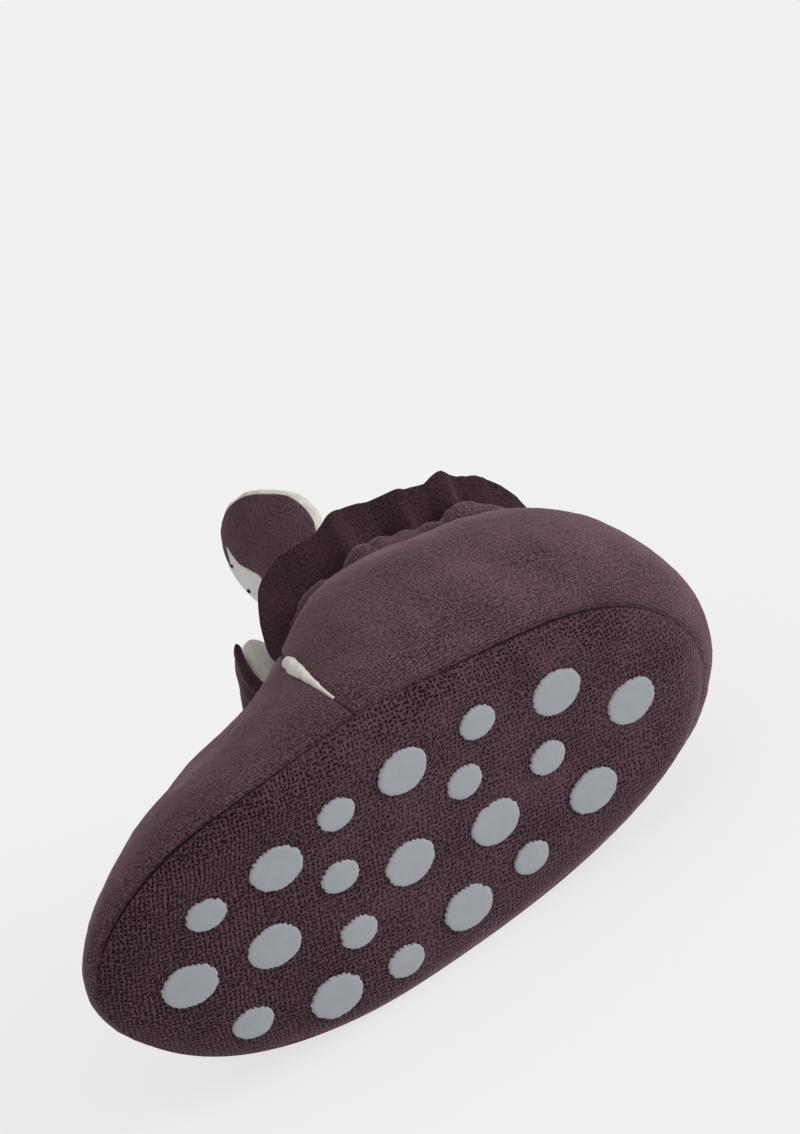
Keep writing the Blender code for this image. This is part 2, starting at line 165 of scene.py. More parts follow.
# %% Press, turn and place
FLOOR_LEAN = math.radians(10.0)
FLOOR_OUT = 27.9
DOWN = np.array([0.0, -math.cos(FLOOR_LEAN), -math.sin(FLOOR_LEAN)])
TURN = np.array([
    [-1.0, 0.0, 0.0],
    [0.0, -math.sin(FLOOR_LEAN), math.cos(FLOOR_LEAN)],
    [0.0, math.cos(FLOOR_LEAN), math.sin(FLOOR_LEAN)],
])
GRIP_NARROW = 0.86
DOT_RADIUS = {"large": 4.9, "small": 3.6}
HEEL_DOT = (14.0, -0.5)
HEEL_END, HEEL_CURVE = 16.0, 0.004
FLAT_END, SPRING_STOP, SPRING_CURVE = 62.0, 107.0, 0.0031


def press(points):
    """Moves what lies beyond the floor plane straight back onto it."""
    beyond = np.clip(points @ DOWN - FLOOR_OUT, 0.0, None)
    return points - beyond[..., None] * DOWN


def rocker(x):
    """Height of the sole's middle line: level under the foot, a parabola up under the toes, a slight one
    at the heel."""
    x = np.asarray(x, float)
    bend = SPRING_CURVE * np.clip(x - FLAT_END, 0.0, SPRING_STOP - FLAT_END) ** 2
    lift = 2.0 * SPRING_CURVE * (SPRING_STOP - FLAT_END) * np.clip(x - SPRING_STOP, 0.0, None)
    heel = HEEL_CURVE * np.clip(HEEL_END - x, 0.0, None) ** 2
    return bend + lift + heel


def grip_edge(x, y, radius, turns):
    """Points round a grip dot: a circle, a little narrower across the shoe than along it."""
    return np.stack([x + radius * np.cos(turns), y + radius * GRIP_NARROW * np.sin(turns)], axis=-1)


heel_dot = grip_edge(*HEEL_DOT, DOT_RADIUS["large"], np.linspace(0.0, math.tau, 41))
heel_dot = np.concatenate([heel_dot, rocker(heel_dot[:, 0:1]) - GAP], axis=1)
dot_low = np.array(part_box("grip_02_large")[0]) / MM
dot_high = np.array(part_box("grip_02_large")[1]) / MM
turned = heel_dot @ TURN.T
PLACE = np.array([
    (dot_low[0] + dot_high[0]) / 2 - (turned[:, 0].min() + turned[:, 0].max()) / 2,
    dot_high[1] - turned[:, 1].max(),
    FLOOR_OUT,
])


def lay(points):
    """Shoe millimetres to the frame's metres."""
    return (points @ TURN.T + PLACE) * MM


print("the shoe's heel line lies at, mm:", PLACE.round(2).tolist())

# %% [markdown]
# ## Cloth
# Cloth has two faces and a soft rounded edge. One function makes every sheet here: it takes the outer face as
# a grid of points, steps back by the thickness along the surface's own normals, and lets the two faces meet
# in a half round along each free edge. Each corner also gets its place in the cloth in millimetres as a UV,
# so that the knit can follow the sheet.

# %% The sheet builder
def unit(vectors):
    return vectors / np.maximum(np.linalg.norm(vectors, axis=-1, keepdims=True), 1e-12)


def grid_normals(grid, wrap):
    """Cross product of the steps along and across a grid of points."""
    if wrap:
        along = np.roll(grid, -1, 0) - np.roll(grid, 1, 0)
    else:
        along = np.gradient(grid, axis=0)
    return unit(np.cross(along, np.gradient(grid, axis=1)))


def travelled(grid, axis):
    """Distance walked along one direction of a grid, from its first row."""
    step = np.linalg.norm(np.diff(grid, axis=axis), axis=-1)
    start = np.zeros_like(np.take(step, [0], axis=axis))
    return np.concatenate([start, np.cumsum(step, axis=axis)], axis=axis)


def edge_distance(grid, wrap):
    """How far each point is from the nearest free edge; a wrapped grid has none along its first axis."""
    across = travelled(grid, 1)
    far = np.minimum(across, across[:, -1:] - across)
    if wrap:
        return far
    along = travelled(grid, 0)
    return np.minimum(far, np.minimum(along, along[-1:] - along))


def spread(count, start=True, end=True, crowd=0.012):
    """Places from 0 to 1, a few of them crowded at each end that has a rounded edge."""
    near = crowd * (1.0 - np.cos(np.linspace(0.0, 0.5 * math.pi, 6)[:-1]))
    places = [near] if start else []
    places.append(np.linspace(crowd if start else 0.0, 1.0 - crowd if end else 1.0, count))
    if end:
        places.append(1.0 - near[::-1])
    return np.concatenate(places)


def volume(points, faces):
    """Signed volume of a closed mesh: positive where its faces point out."""
    a, b, c, d = (points[faces[:, k]] for k in range(4))
    return (np.einsum("ij,ij->i", a, np.cross(b, c)) + np.einsum("ij,ij->i", a, np.cross(c, d))).sum() / 6.0


def piece(name, points, faces, uv, finish):
    """A mesh object in the frame, from points in shoe millimetres, in one of the finishes below.

    Each face has four corners, each with a UV; a triangle repeats its third corner as its fourth."""
    placed = lay(press(points))
    if volume(placed, faces) < 0.0:
        order = np.where((faces[:, 2] == faces[:, 3])[:, None], [1, 0, 2, 2], [3, 2, 1, 0])
        faces = np.take_along_axis(faces, order, axis=1)
        uv = np.take_along_axis(uv, order[..., None], axis=1)
    triangle = faces[:, 2] == faces[:, 3]
    mesh = bpy.data.meshes.new(name)
    mesh.from_pydata(placed.tolist(), [], faces[~triangle].tolist() + faces[triangle, :3].tolist())
    corners = np.concatenate([uv[~triangle].reshape(-1, 2), uv[triangle, :3].reshape(-1, 2)])
    layer = mesh.uv_layers.new(name="cloth_mm")
    layer.data.foreach_set("uv", corners.astype(np.float32).ravel())
    mesh.shade_smooth()
    mesh.materials.append(finishes[finish])
    made = bpy.data.objects.new(name, mesh)
    bpy.context.scene.collection.objects.link(made)
    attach(made, "root")
    print(name, "has", len(placed), "points and", len(faces), "faces")
    return made


def sheet_mesh(outer, inner, wrap, uv):
    """Points, quads and corner UVs of a closed sheet whose two faces share their edge points."""
    nu, nv = outer.shape[0:2]
    columns = nu if wrap else nu - 1
    i, j = np.meshgrid(np.arange(columns), np.arange(nv - 1), indexing="ij")
    i, j = i.ravel(), j.ravel()
    corner_i = np.stack([i, i + 1, i + 1, i], axis=1)
    corner_j = np.stack([j, j, j + 1, j + 1], axis=1)
    front = (corner_i % nu) * nv + corner_j
    back_index = np.arange(nu * nv).reshape(nu, nv) + nu * nv
    rim = np.zeros((nu, nv), bool)
    rim[:, 0] = rim[:, -1] = True
    if not wrap:
        rim[0] = rim[-1] = True
    back_index[rim] = np.arange(nu * nv).reshape(nu, nv)[rim]
    back = back_index.reshape(-1)[front][:, ::-1]
    faces = np.concatenate([front, back])
    corners = uv[corner_i, corner_j]
    corners = np.concatenate([corners, corners[:, ::-1]])
    points = np.concatenate([outer.reshape(-1, 3), inner.reshape(-1, 3)])
    used, inverse = np.unique(faces, return_inverse=True)
    return points[used], inverse.reshape(faces.shape), corners


def outward(grid, wrap, core):
    """Normals of a grid, turned all together so that they point away from 'core'."""
    n = grid_normals(grid, wrap)
    return n * np.sign(np.sum(n * (grid - core)))


def cloth(name, outer, thick, finish, core, wrap=False, soft=1.0, nap=None, out=None):
    """A closed sheet: 'outer' is its outer face, 'thick' how far behind it the inner one lies, along the
    surface's own normals or along the given directions 'out'.

    Near a free edge both faces move to the middle of the sheet by the height of a quarter circle,
    so that they meet in a half round as wide as 'soft' times half the thickness."""
    n = outward(outer, wrap, core) if out is None else out
    thick = np.broadcast_to(np.asarray(thick, float), outer.shape[0:2])[..., None]
    full = quarter_round(edge_distance(outer, wrap)[..., None] / (soft * thick / 2))
    middle = outer - n * thick / 2
    face = middle + n * thick / 2 * full
    inner = middle - n * thick / 2 * full
    if nap is not None:
        face = face + n * nap(face)[..., None] * full
        inner = inner - n * nap(inner)[..., None] * full
    closed = np.concatenate([outer, outer[:1]]) if wrap else outer
    u = travelled(closed, 0)
    v = travelled(closed, 1)
    u = np.broadcast_to(u[:, u.shape[1] // 3][:, None], u.shape)
    points, faces, corners = sheet_mesh(face, inner, wrap, np.stack([u, v], axis=-1))
    return piece(name, points, faces, corners, finish)


def flattened(grid):
    """Place in the cloth of each point of a grid of rings: as far out from the middle, in its own direction,
    as the distance walked to it over the surface."""
    middle = grid[:, -1].mean(0)
    steps = np.linalg.norm(np.diff(grid, axis=1, append=np.broadcast_to(middle, grid[:, :1].shape)), axis=-1)
    walked = np.cumsum(steps[:, ::-1], axis=1)[:, ::-1]
    return middle[0:2] + unit(grid[..., 0:2] - middle[0:2]) * walked[..., None]


def plate(name, low, high, finish):
    """A flat body between two grids of closed rings that share their first ring; each is closed by a fan at
    its middle. Its UV is the place in the cloth in millimetres, near the middle the same as X and Y."""
    nu, nr = low.shape[0:2]
    back = np.arange(nu * nr).reshape(nu, nr) + nu * nr
    back[:, 0] = np.arange(nu) * nr
    front = np.arange(nu * nr).reshape(nu, nr)
    points = np.concatenate([low.reshape(-1, 3), high.reshape(-1, 3),
                             low[:, -1].mean(0)[None], high[:, -1].mean(0)[None]])
    faces = []
    for side, grid in enumerate((front, back)):
        after = np.roll(grid, -1, 0)
        quads = np.stack([grid[:, :-1], grid[:, 1:], after[:, 1:], after[:, :-1]], axis=-1).reshape(-1, 4)
        pole = np.full(nu, 2 * nu * nr + side)
        fan = np.stack([grid[:, -1], pole, after[:, -1], after[:, -1]], axis=-1)
        if side:
            quads = quads[:, ::-1]
            fan = fan[:, [2, 1, 0, 0]]
        faces += [quads, fan]
    faces = np.concatenate(faces)
    place = np.concatenate([flattened(low).reshape(-1, 2), flattened(high).reshape(-1, 2), points[-2:, 0:2]])
    used, inverse = np.unique(faces, return_inverse=True)
    return piece(name, points[used], inverse.reshape(faces.shape), place[faces], finish)


def tube(name, path, radius, finish, sides=20, up=(0.0, 0.0, 1.0), nap=None):
    """A round roll of padding along a path: circles of the given radius, square to the path, closed at both
    ends by a fan."""
    along = unit(np.gradient(path, axis=0))
    first = unit(np.cross(along, np.array(up)))
    second = np.cross(first, along)
    turn = np.arange(sides) * math.tau / sides
    ray = first[:, None] * np.cos(turn)[None, :, None] + second[:, None] * np.sin(turn)[None, :, None]
    grid = path[:, None] + ray * radius[:, None, None]
    if nap is not None:
        grid = grid + ray * nap(grid)[..., None] * np.clip(radius / radius.max(), 0.0, 1.0)[:, None, None]
    n = len(path)
    index = np.arange(n * sides).reshape(n, sides)
    after = np.roll(index, -1, 1)
    quads = np.stack([index[:-1], index[1:], after[1:], after[:-1]], axis=-1).reshape(-1, 4)
    pole = np.full(sides, n * sides)
    start = np.stack([pole, index[0], after[0], after[0]], axis=-1)
    end = np.stack([after[-1], index[-1], pole + 1, pole + 1], axis=-1)
    faces = np.concatenate([quads, start, end])
    points = np.concatenate([grid.reshape(-1, 3), path[:1], path[-1:]])
    length = travelled(path, 0)[:, None]
    place = np.stack(np.broadcast_arrays(length, turn * radius.max()), axis=-1).reshape(-1, 2)
    place = np.concatenate([place, [[0.0, 0.0], [length[-1, 0], 0.0]]])
    return piece(name, points, faces, place[faces], finish)


print("an even spread with crowded ends:", spread(5).round(3).tolist())

# %% [markdown]
# ## Softness
# No sewn cloth is as smooth as its formula. Value noise, numbers on a lattice blended smoothly between its
# corners, gives the slow unevenness of wadding under velour, and at a smaller size the tufts of fleece.

# %% Noise, tufts and listed creases
def lattice(cells, seed):
    """A fixed number from -1 to 1 for each lattice corner, from its three whole numbers."""
    mixed = cells[..., 0] * 73856093 ^ cells[..., 1] * 19349663 ^ cells[..., 2] * 83492791 ^ seed * 2654435761
    mixed = (mixed ^ (mixed >> 13)) * 1274126177
    return ((mixed ^ (mixed >> 16)) & 65535) / 32767.5 - 1.0


def noise(points, size, seed=1):
    """Smooth noise from -1 to 1 whose lumps are about 'size' millimetres."""
    p = points / size
    base = np.floor(p).astype(np.int64)
    f = smoothstep(p - base)
    total = 0.0
    for corner in range(8):
        pick = np.array([corner & 1, corner >> 1 & 1, corner >> 2 & 1])
        share = np.prod(np.where(pick, f, 1.0 - f), axis=-1)
        total = total + share * lattice(base + pick, seed)
    return total


def fleece_nap(points):
    """Tufts of fleece: lumps of two sizes."""
    return 0.22 * noise(points, 1.5, 5) + 0.12 * noise(points, 0.7, 6)


def noise_along(distance, size, seed):
    """Noise that changes only with the distance along a line."""
    return noise(np.stack([distance, 0 * distance, 0 * distance], axis=-1), size, seed)


def velour_nap(points):
    """The slow unevenness of padded velour, with a trace of its pile."""
    return 0.26 * noise(points, 8.0, 2) + 0.08 * noise(points, 2.4, 3) + 0.04 * noise(points, 0.9, 4)


# Soft troughs (negative) and ridges of the upper: from and to (station, up the rib), half width in mm, depth
CREASES = [
    ((1.7, 0.60), (3.3, 0.60), 7.5, -1.3),
    ((0.6, 0.30), (2.8, 0.42), 5.0, 0.35),
    ((1.2, 0.18), (3.4, 0.20), 3.0, -0.30),
    ((1.9, 0.07), (4.8, 0.09), 3.6, -0.70),
    ((2.2, 0.52), (3.9, 0.60), 4.0, 0.40),
    ((3.1, 0.45), (3.95, 0.30), 3.0, -0.35),
    ((4.3, 0.50), (5.4, 0.34), 4.0, -0.30),
    ((5.2, 0.62), (6.6, 0.50), 5.0, 0.30),
    ((8.2, 0.50), (9.4, 0.36), 4.0, -0.35),
    ((10.6, 0.42), (12.6, 0.50), 4.0, -0.40),
]


def creased(points):
    """Depth of the listed creases at each point: a smooth bell across the line between two points."""
    depth = np.zeros(points.shape[:-1])
    for start, end, width, height in CREASES:
        a = last_surface(*start)
        line = last_surface(*end) - a
        t = np.clip(((points - a) @ line) / (line @ line), 0.0, 1.0)
        away = np.linalg.norm(points - a - t[..., None] * line, axis=-1)
        ends = smoothstep(t / 0.3) * smoothstep((1.0 - t) / 0.3) * 0.7 + 0.3
        depth += height * ends * np.exp(-(away / width) ** 2)
    return depth


print("noise at three places:", noise(np.array([[1.0, 2, 3], [4, 5, 6], [7, 8, 9.5]]), 2.0).round(2).tolist())

# %% [markdown]
# ## Finishes
# The cloth is a knitted velour: a fine knit whose loops are brushed into a short pile. Seen close, the gaps
# between its loops read as small dark pits and those between its rows as thin lines, each plainest where the
# other is brushed over. The pile makes a fine speckle, and a pale bloom where the cloth turns away. The knit
# is worked out from the cloth's own millimetres, so it follows each panel. Fleece is a lumpy surface and not
# woven, so it reads the place in space instead. Both are node groups, built once, and each material gives
# them its own values.

# %% Helpers for node trees
def calc(tree, operation, *values):
    """Output of a Math node whose inputs are sockets or numbers."""
    node = tree.nodes.new("ShaderNodeMath")
    node.operation = operation
    for socket, value in zip(node.inputs, values):
        if isinstance(value, bpy.types.NodeSocket):
            tree.links.new(value, socket)
        else:
            socket.default_value = value
    return node.outputs[0]


def speckle(tree, vector, scale, detail=2.0):
    """Output of a Noise Texture, from 0 to 1, with 'scale' lumps to the millimetre."""
    node = tree.nodes.new("ShaderNodeTexNoise")
    node.inputs["Scale"].default_value = scale
    node.inputs["Detail"].default_value = detail
    tree.links.new(vector, node.inputs["Vector"])
    return node.outputs["Fac"]


def blend_colours(tree, factor, dark, light):
    """Output of a colour Mix node."""
    node = tree.nodes.new("ShaderNodeMix")
    node.data_type = "RGBA"
    tree.links.new(factor, node.inputs["Factor"])
    tree.links.new(dark, node.inputs["A"])
    tree.links.new(light, node.inputs["B"])
    return node.outputs["Result"]


def new_group(name, inputs, outputs):
    """An empty shader node group with named sockets; inputs are (name, kind, value)."""
    tree = bpy.data.node_groups.new(name, "ShaderNodeTree")
    for label, kind, value in inputs:
        socket = tree.interface.new_socket(label, in_out="INPUT", socket_type="NodeSocket" + kind)
        if value is not None:
            socket.default_value = value
    for label, kind in outputs:
        tree.interface.new_socket(label, in_out="OUTPUT", socket_type="NodeSocket" + kind)
    return tree, tree.nodes.new("NodeGroupInput").outputs, tree.nodes.new("NodeGroupOutput").inputs


# %% The knit of the velour
VELOUR_SOCKETS = [
    ("Place", "Vector", None), ("Row", "Float", 0.7), ("Stitch", "Float", 0.6), ("Lean", "Float", 0.0),
    ("Lines", "Float", 0.5), ("Pits", "Float", 1.0),
    ("Dark", "Color", (0.03, 0.02, 0.02, 1)), ("Light", "Color", (0.2, 0.1, 0.15, 1)),
]
velour, given, made = new_group("knitted_velour", VELOUR_SOCKETS,
                                [("Colour", "Color"), ("Height", "Float"), ("Roughness", "Float")])
turned = velour.nodes.new("ShaderNodeVectorRotate")
turned.rotation_type = "Z_AXIS"
velour.links.new(given["Place"], turned.inputs["Vector"])
velour.links.new(given["Lean"], turned.inputs["Angle"])
parts = velour.nodes.new("ShaderNodeSeparateXYZ")
velour.links.new(turned.outputs[0], parts.inputs[0])


def knit(operation, *values):
    """Output of a Math node in the velour group."""
    return calc(velour, operation, *values)


# The rows wander by up to 0.7 mm over a few millimetres, and each stitch by 0.2 mm
drift = knit("MULTIPLY_ADD", speckle(velour, given["Place"], 0.22), 1.4, -0.7)
jitter = knit("MULTIPLY_ADD", speckle(velour, given["Place"], 1.0), 0.44, -0.22)
row = knit("DIVIDE", knit("ADD", knit("ADD", parts.outputs[1], drift), jitter), given["Row"])
stitch = knit("DIVIDE", knit("ADD", parts.outputs[0], jitter), given["Stitch"])
cell = velour.nodes.new("ShaderNodeCombineXYZ")
velour.links.new(stitch, cell.inputs[0])
velour.links.new(row, cell.inputs[1])
loops = velour.nodes.new("ShaderNodeTexVoronoi")
loops.voronoi_dimensions = "2D"
loops.inputs["Scale"].default_value = 1.0
loops.inputs["Randomness"].default_value = 0.50
velour.links.new(cell.outputs[0], loops.inputs["Vector"])
pit = velour.nodes.new("ShaderNodeMapRange")
pit.interpolation_type = "SMOOTHSTEP"
pit.inputs["From Min"].default_value = 0.42
pit.inputs["From Max"].default_value = 0.04
velour.links.new(loops.outputs["Distance"], pit.inputs["Value"])
groove = knit("MULTIPLY_ADD", knit("COSINE", knit("MULTIPLY", row, math.tau)), 0.5, 0.5)
groove = knit("POWER", groove, 2.2)
# Where the pile is brushed over, the rows show and the pits don't
brushed = speckle(velour, given["Place"], 0.09, 3.0)
shown = knit("MULTIPLY", given["Lines"], knit("MULTIPLY_ADD", brushed, 2.4, -0.55))
shown = knit("MAXIMUM", shown, 0.0)
bare = knit("MULTIPLY", given["Pits"], knit("MULTIPLY_ADD", brushed, -2.4, 2.2))
sunk = knit("ADD", knit("MULTIPLY", pit.outputs[0], bare), knit("MULTIPLY", groove, shown))
pile = speckle(velour, given["Place"], 2.6, 3.0)
flecks = speckle(velour, given["Place"], 1.1, 2.0)
tone = knit("MULTIPLY_ADD", flecks, 0.8, knit("MULTIPLY_ADD", brushed, 0.8, -1.36))
tone = knit("MULTIPLY_ADD", sunk, -0.75, knit("MULTIPLY_ADD", pile, 2.4, tone))
velour.links.new(blend_colours(velour, tone, given["Dark"], given["Light"]), made["Colour"])
velour.links.new(knit("MULTIPLY_ADD", pile, 0.4, knit("MULTIPLY", sunk, -0.8)), made["Height"])
velour.links.new(knit("MULTIPLY_ADD", pile, 0.2, 0.78), made["Roughness"])
print("velour group has", len(velour.nodes), "nodes")

# %% The tufts of the fleece
FLEECE_SOCKETS = [
    ("Place", "Vector", None), ("Tuft", "Float", 1.4), ("Dark", "Color", (0.4, 0.35, 0.3, 1)),
    ("Light", "Color", (0.7, 0.68, 0.6, 1)),
]
fleece, given, made = new_group("brushed_fleece", FLEECE_SOCKETS,
                                [("Colour", "Color"), ("Height", "Float"), ("Roughness", "Float")])
shrunk = fleece.nodes.new("ShaderNodeVectorMath")
shrunk.operation = "SCALE"
fleece.links.new(given["Place"], shrunk.inputs[0])
fleece.links.new(calc(fleece, "DIVIDE", 1.0, given["Tuft"]), shrunk.inputs["Scale"])
tufts = speckle(fleece, shrunk.outputs[0], 1.0, 3.0)
fibres = speckle(fleece, shrunk.outputs[0], 6.0, 2.0)
tone = calc(fleece, "MULTIPLY_ADD", tufts, 1.3, calc(fleece, "MULTIPLY_ADD", fibres, 0.7, -0.5))
fleece.links.new(blend_colours(fleece, tone, given["Dark"], given["Light"]), made["Colour"])
fleece.links.new(calc(fleece, "MULTIPLY_ADD", fibres, 0.35, tufts), made["Height"])
fleece.links.new(calc(fleece, "MULTIPLY_ADD", fibres, 0.1, 0.88), made["Roughness"])
print("fleece group has", len(fleece.nodes), "nodes")


# %% A material around a group
def finish_of(name, group, values, relief, sheen, bloom, by_cloth, rows_fade=None):
    """A material whose colour, roughness and height come from a group.

    relief is the height of the pattern in mm; sheen and bloom are the weight and colour of the pale edge of
    pile; by_cloth reads the cloth's own millimetres, otherwise the place in space. rows_fade is which of
    those millimetres (0 or 1), the two places between which the knit's rows fade, and how plain they are
    at each."""
    material = bpy.data.materials.new(name)
    material.use_nodes = True
    tree = material.node_tree
    shader = tree.nodes["Principled BSDF"]
    pattern = tree.nodes.new("ShaderNodeGroup")
    pattern.node_tree = group
    for label, value in values.items():
        pattern.inputs[label].default_value = value
    if by_cloth:
        place = tree.nodes.new("ShaderNodeUVMap")
        place.uv_map = "cloth_mm"
        tree.links.new(place.outputs[0], pattern.inputs["Place"])
        if rows_fade:
            apart = tree.nodes.new("ShaderNodeSeparateXYZ")
            fade = tree.nodes.new("ShaderNodeMapRange")
            for label, value in zip(("From Min", "From Max", "To Min", "To Max"), rows_fade[1:]):
                fade.inputs[label].default_value = value
            tree.links.new(place.outputs[0], apart.inputs[0])
            tree.links.new(apart.outputs[rows_fade[0]], fade.inputs["Value"])
            tree.links.new(fade.outputs[0], pattern.inputs["Lines"])
    else:
        place = tree.nodes.new("ShaderNodeTexCoord")
        scale = tree.nodes.new("ShaderNodeVectorMath")
        scale.operation = "SCALE"
        scale.inputs["Scale"].default_value = 1.0 / MM
        tree.links.new(place.outputs["Object"], scale.inputs[0])
        tree.links.new(scale.outputs[0], pattern.inputs["Place"])
    bump = tree.nodes.new("ShaderNodeBump")
    bump.inputs["Strength"].default_value = 0.8
    bump.inputs["Distance"].default_value = relief * MM
    tree.links.new(pattern.outputs["Height"], bump.inputs["Height"])
    tree.links.new(pattern.outputs["Colour"], shader.inputs["Base Color"])
    tree.links.new(pattern.outputs["Roughness"], shader.inputs["Roughness"])
    tree.links.new(bump.outputs[0], shader.inputs["Normal"])
    shader.inputs["Specular IOR Level"].default_value = 0.15
    shader.inputs["Sheen Weight"].default_value = sheen
    shader.inputs["Sheen Roughness"].default_value = 0.35
    shader.inputs["Sheen Tint"].default_value = bloom
    return material


PLUM_BLOOM = (0.78, 0.52, 0.58)
VELOURS = {
    # dark, light, row and stitch pitch in mm, lean in degrees, how plainly rows and pits show, relief, sheen
    "upper": ((0.022, 0.009, 0.012), (0.196, 0.105, 0.133), 0.60, 0.60, 0.0, 0.5, 0.55, 0.25, 0.5),
    # The sole is the upper's own velour: its darker colours are painted shade, for the light that the sole's
    # side gets less of
    "sole": ((0.006, 0.002, 0.003), (0.148, 0.074, 0.097), 0.84, 0.80, 80.0, 0.5, 1.5, 0.12, 0.5),
    # The cuff is a thinner, darker velour, and its colours are made darker still as painted shade, for the
    # shadow the cuff lies in
    "cuff": ((0.012, 0.005, 0.006), (0.080, 0.039, 0.047), 0.66, 0.64, 0.0, 0.0, 0.30, 0.25, 0.5),
    "tongue": ((0.030, 0.014, 0.019), (0.154, 0.084, 0.106), 0.60, 0.55, 0.0, 0.2, 0.20, 0.25, 0.5),
    # Near-black velour for the roll in the seam's groove: painted shade, standing for the shadow deep in the
    # groove
    "seam": ((0.006, 0.002, 0.003), (0.030, 0.014, 0.018), 0.60, 0.60, 0.0, 0.2, 0.20, 0.25, 0.0),
}
ROWS_FADE = {"upper": (1, 1.0, 9.0, 0.50, 0.03), "sole": (0, 55.0, 90.0, 0.05, 0.75)}
FLEECES = {
    # name, size of a tuft in mm, dark, light, relief, sheen, bloom
    "fleece": ("cream_fleece", 1.4, (0.80, 0.75, 0.67), (0.98, 0.955, 0.91), 0.5, 0.5, (1.0, 0.97, 0.92)),
    "patch": ("cream_patch", 0.7, (0.80, 0.78, 0.74), (0.95, 0.94, 0.92), 0.15, 0.2, (1.0, 0.98, 0.95)),
    "thread": ("dark_thread", 0.4, (0.012, 0.010, 0.012), (0.035, 0.03, 0.035), 0.05, 0.1, (0.5, 0.5, 0.5)),
    "silicone": ("grey_silicone", 2.2, (0.38, 0.40, 0.425), (0.43, 0.455, 0.48), 0.05, 0.0, (1.0, 1.0, 1.0)),
}
finishes = {}
for key, (dark, light, rows, stitches, lean, lines, pits, relief, sheen) in VELOURS.items():
    values = {"Row": rows, "Stitch": stitches, "Lean": math.radians(lean), "Lines": lines, "Pits": pits,
              "Dark": (*dark, 1.0), "Light": (*light, 1.0)}
    finishes[key] = finish_of(key + "_plum_velour", velour, values, relief, sheen, (*PLUM_BLOOM, 1.0), True,
                              ROWS_FADE.get(key))
for key, (name, tuft, dark, light, relief, sheen, bloom) in FLEECES.items():
    values = {"Tuft": tuft, "Dark": (*dark, 1.0), "Light": (*light, 1.0)}
    finishes[key] = finish_of(name, fleece, values, relief, sheen, (*bloom, 1.0), False)
print("finishes:", sorted(finishes))

# %% [markdown]
# ## Vamp, quarter and lining
# The upper is two panels of padded velour. The vamp covers the toes, the quarter wraps the heel, and an open
# slit runs down each side between them, closed by a seam near the sole. Each panel is a grid on the last with
# its listed creases put in, then pressed flat where it lies. A single sculpted mesh could hold both, but two
# sheets with rounded edges give the seam and the slit their real depth. Behind them is one fleece lining.

# %% Panels of the upper
CORE = np.array([58.0, -1.0, 20.0])
SEAM_DEPTH = 0.5
SEAM_WIDTH = 1.6
SLIT_HALF = 0.042
SLIT_FOOT, SLIT_LOW, SLIT_HIGH, SLIT_SHUT = 0.10, 0.30, 0.44, 0.54


def slit_open(v):
    """Half width of the slit in stations: nothing at its foot, widest in the middle, drawn together above."""
    shut = smoothstep((v - SLIT_HIGH) / (SLIT_SHUT - SLIT_HIGH))
    return SLIT_HALF * smoothstep((v - SLIT_FOOT) / (SLIT_LOW - SLIT_FOOT)) * (1.0 - 0.8 * shut)


def panel(first, last, columns, rows=120):
    """Grid of a panel between two slits, with creases and unevenness along its normals, pressed flat."""
    v = spread(rows, crowd=0.014)
    t = spread(columns, crowd=0.004)[:, None]
    u = (first + slit_open(v)) * (1.0 - t) + (last - slit_open(v)) * t
    grid = last_surface(u, np.broadcast_to(v, u.shape))
    from_seam = travelled(grid, 1)
    swell = creased(grid) + velour_nap(grid) - SEAM_DEPTH * np.exp(-(from_seam / SEAM_WIDTH) ** 2)
    return press(grid + outward(grid, False, CORE) * swell[..., None])


for name, first, last, columns in (("upper_vamp", SLIT_LEFT, SLIT_RIGHT, 240),
                                   ("upper_quarter", SLIT_RIGHT, SLIT_LEFT + STATIONS, 270)):
    cloth(name, panel(first, last, columns), SKIN, "upper", CORE, soft=1.8)

# %% Lining
LINING_FOOT = 0.03
around = np.arange(STATIONS * 18) / 18.0
rise = LINING_FOOT + (1.0 - LINING_FOOT) * spread(50, crowd=0.014)
grid = press(last_surface(*np.broadcast_arrays(around[:, None], rise)))
grid = grid - outward(grid, True, CORE) * (SKIN + 0.08)
lining = cloth("upper_lining", grid, LINING, "fleece", CORE, wrap=True, nap=fleece_nap)
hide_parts("upper")

# %% Fleece rolls in the slits
ROLL_FOOT, ROLL_FULL, ROLL_END, ROLL_TOP = 0.12, 0.40, 0.43, 0.455
ROLL_THIN, ROLL_FAT = 0.25, 1.20


def slit_roll(name, station):
    """The lining's turned edge: a tapered roll that fills the slit, thickest where the slit closes."""
    v = np.linspace(ROLL_FOOT, ROLL_TOP, 110)
    path = last_surface(np.full(len(v), float(station)), v)
    fat = ROLL_THIN + (ROLL_FAT - ROLL_THIN) * smoothstep((v - ROLL_FOOT) / (ROLL_FULL - ROLL_FOOT))
    past = np.clip((v - ROLL_END) / (ROLL_TOP - ROLL_END), 0.0, 1.0)
    fat = fat * np.sqrt(np.clip(1.0 - past ** 2, 0.02, 1.0))
    path = press(path + unit(CORE - path) * 0.35)
    return tube(name, path, fat, "fleece", up=(1.0, 0.0, 0.3), nap=fleece_nap)


slit_roll("slit_roll_left", SLIT_LEFT)
slit_roll("slit_roll_right", SLIT_RIGHT)


# %% Seam of the sole
def seam_path(each, inset, lift):
    """The sole's seam, 'each' points to a station, moved in by 'inset' mm and up by 'lift' mm."""
    around = np.arange(STATIONS * each + 1) / each
    seam = closed_spline(LAST, around)[:, 0:3]
    inward = unit(np.column_stack([MIDDLE - seam[:, 0:2], 0 * around]))
    return press(seam + inward * inset) + np.array([0.0, 0.0, lift])


# A dark roll laid in the groove of the sole's seam: its near-black colour is painted shade, and it also
# closes the gap between sole and upper
SHADE_WELT = 0.9
path = seam_path(24, 1.55, 0.1)
tube("sole_seam_shade_welt", path, np.full(len(path), SHADE_WELT), "seam", sides=12)

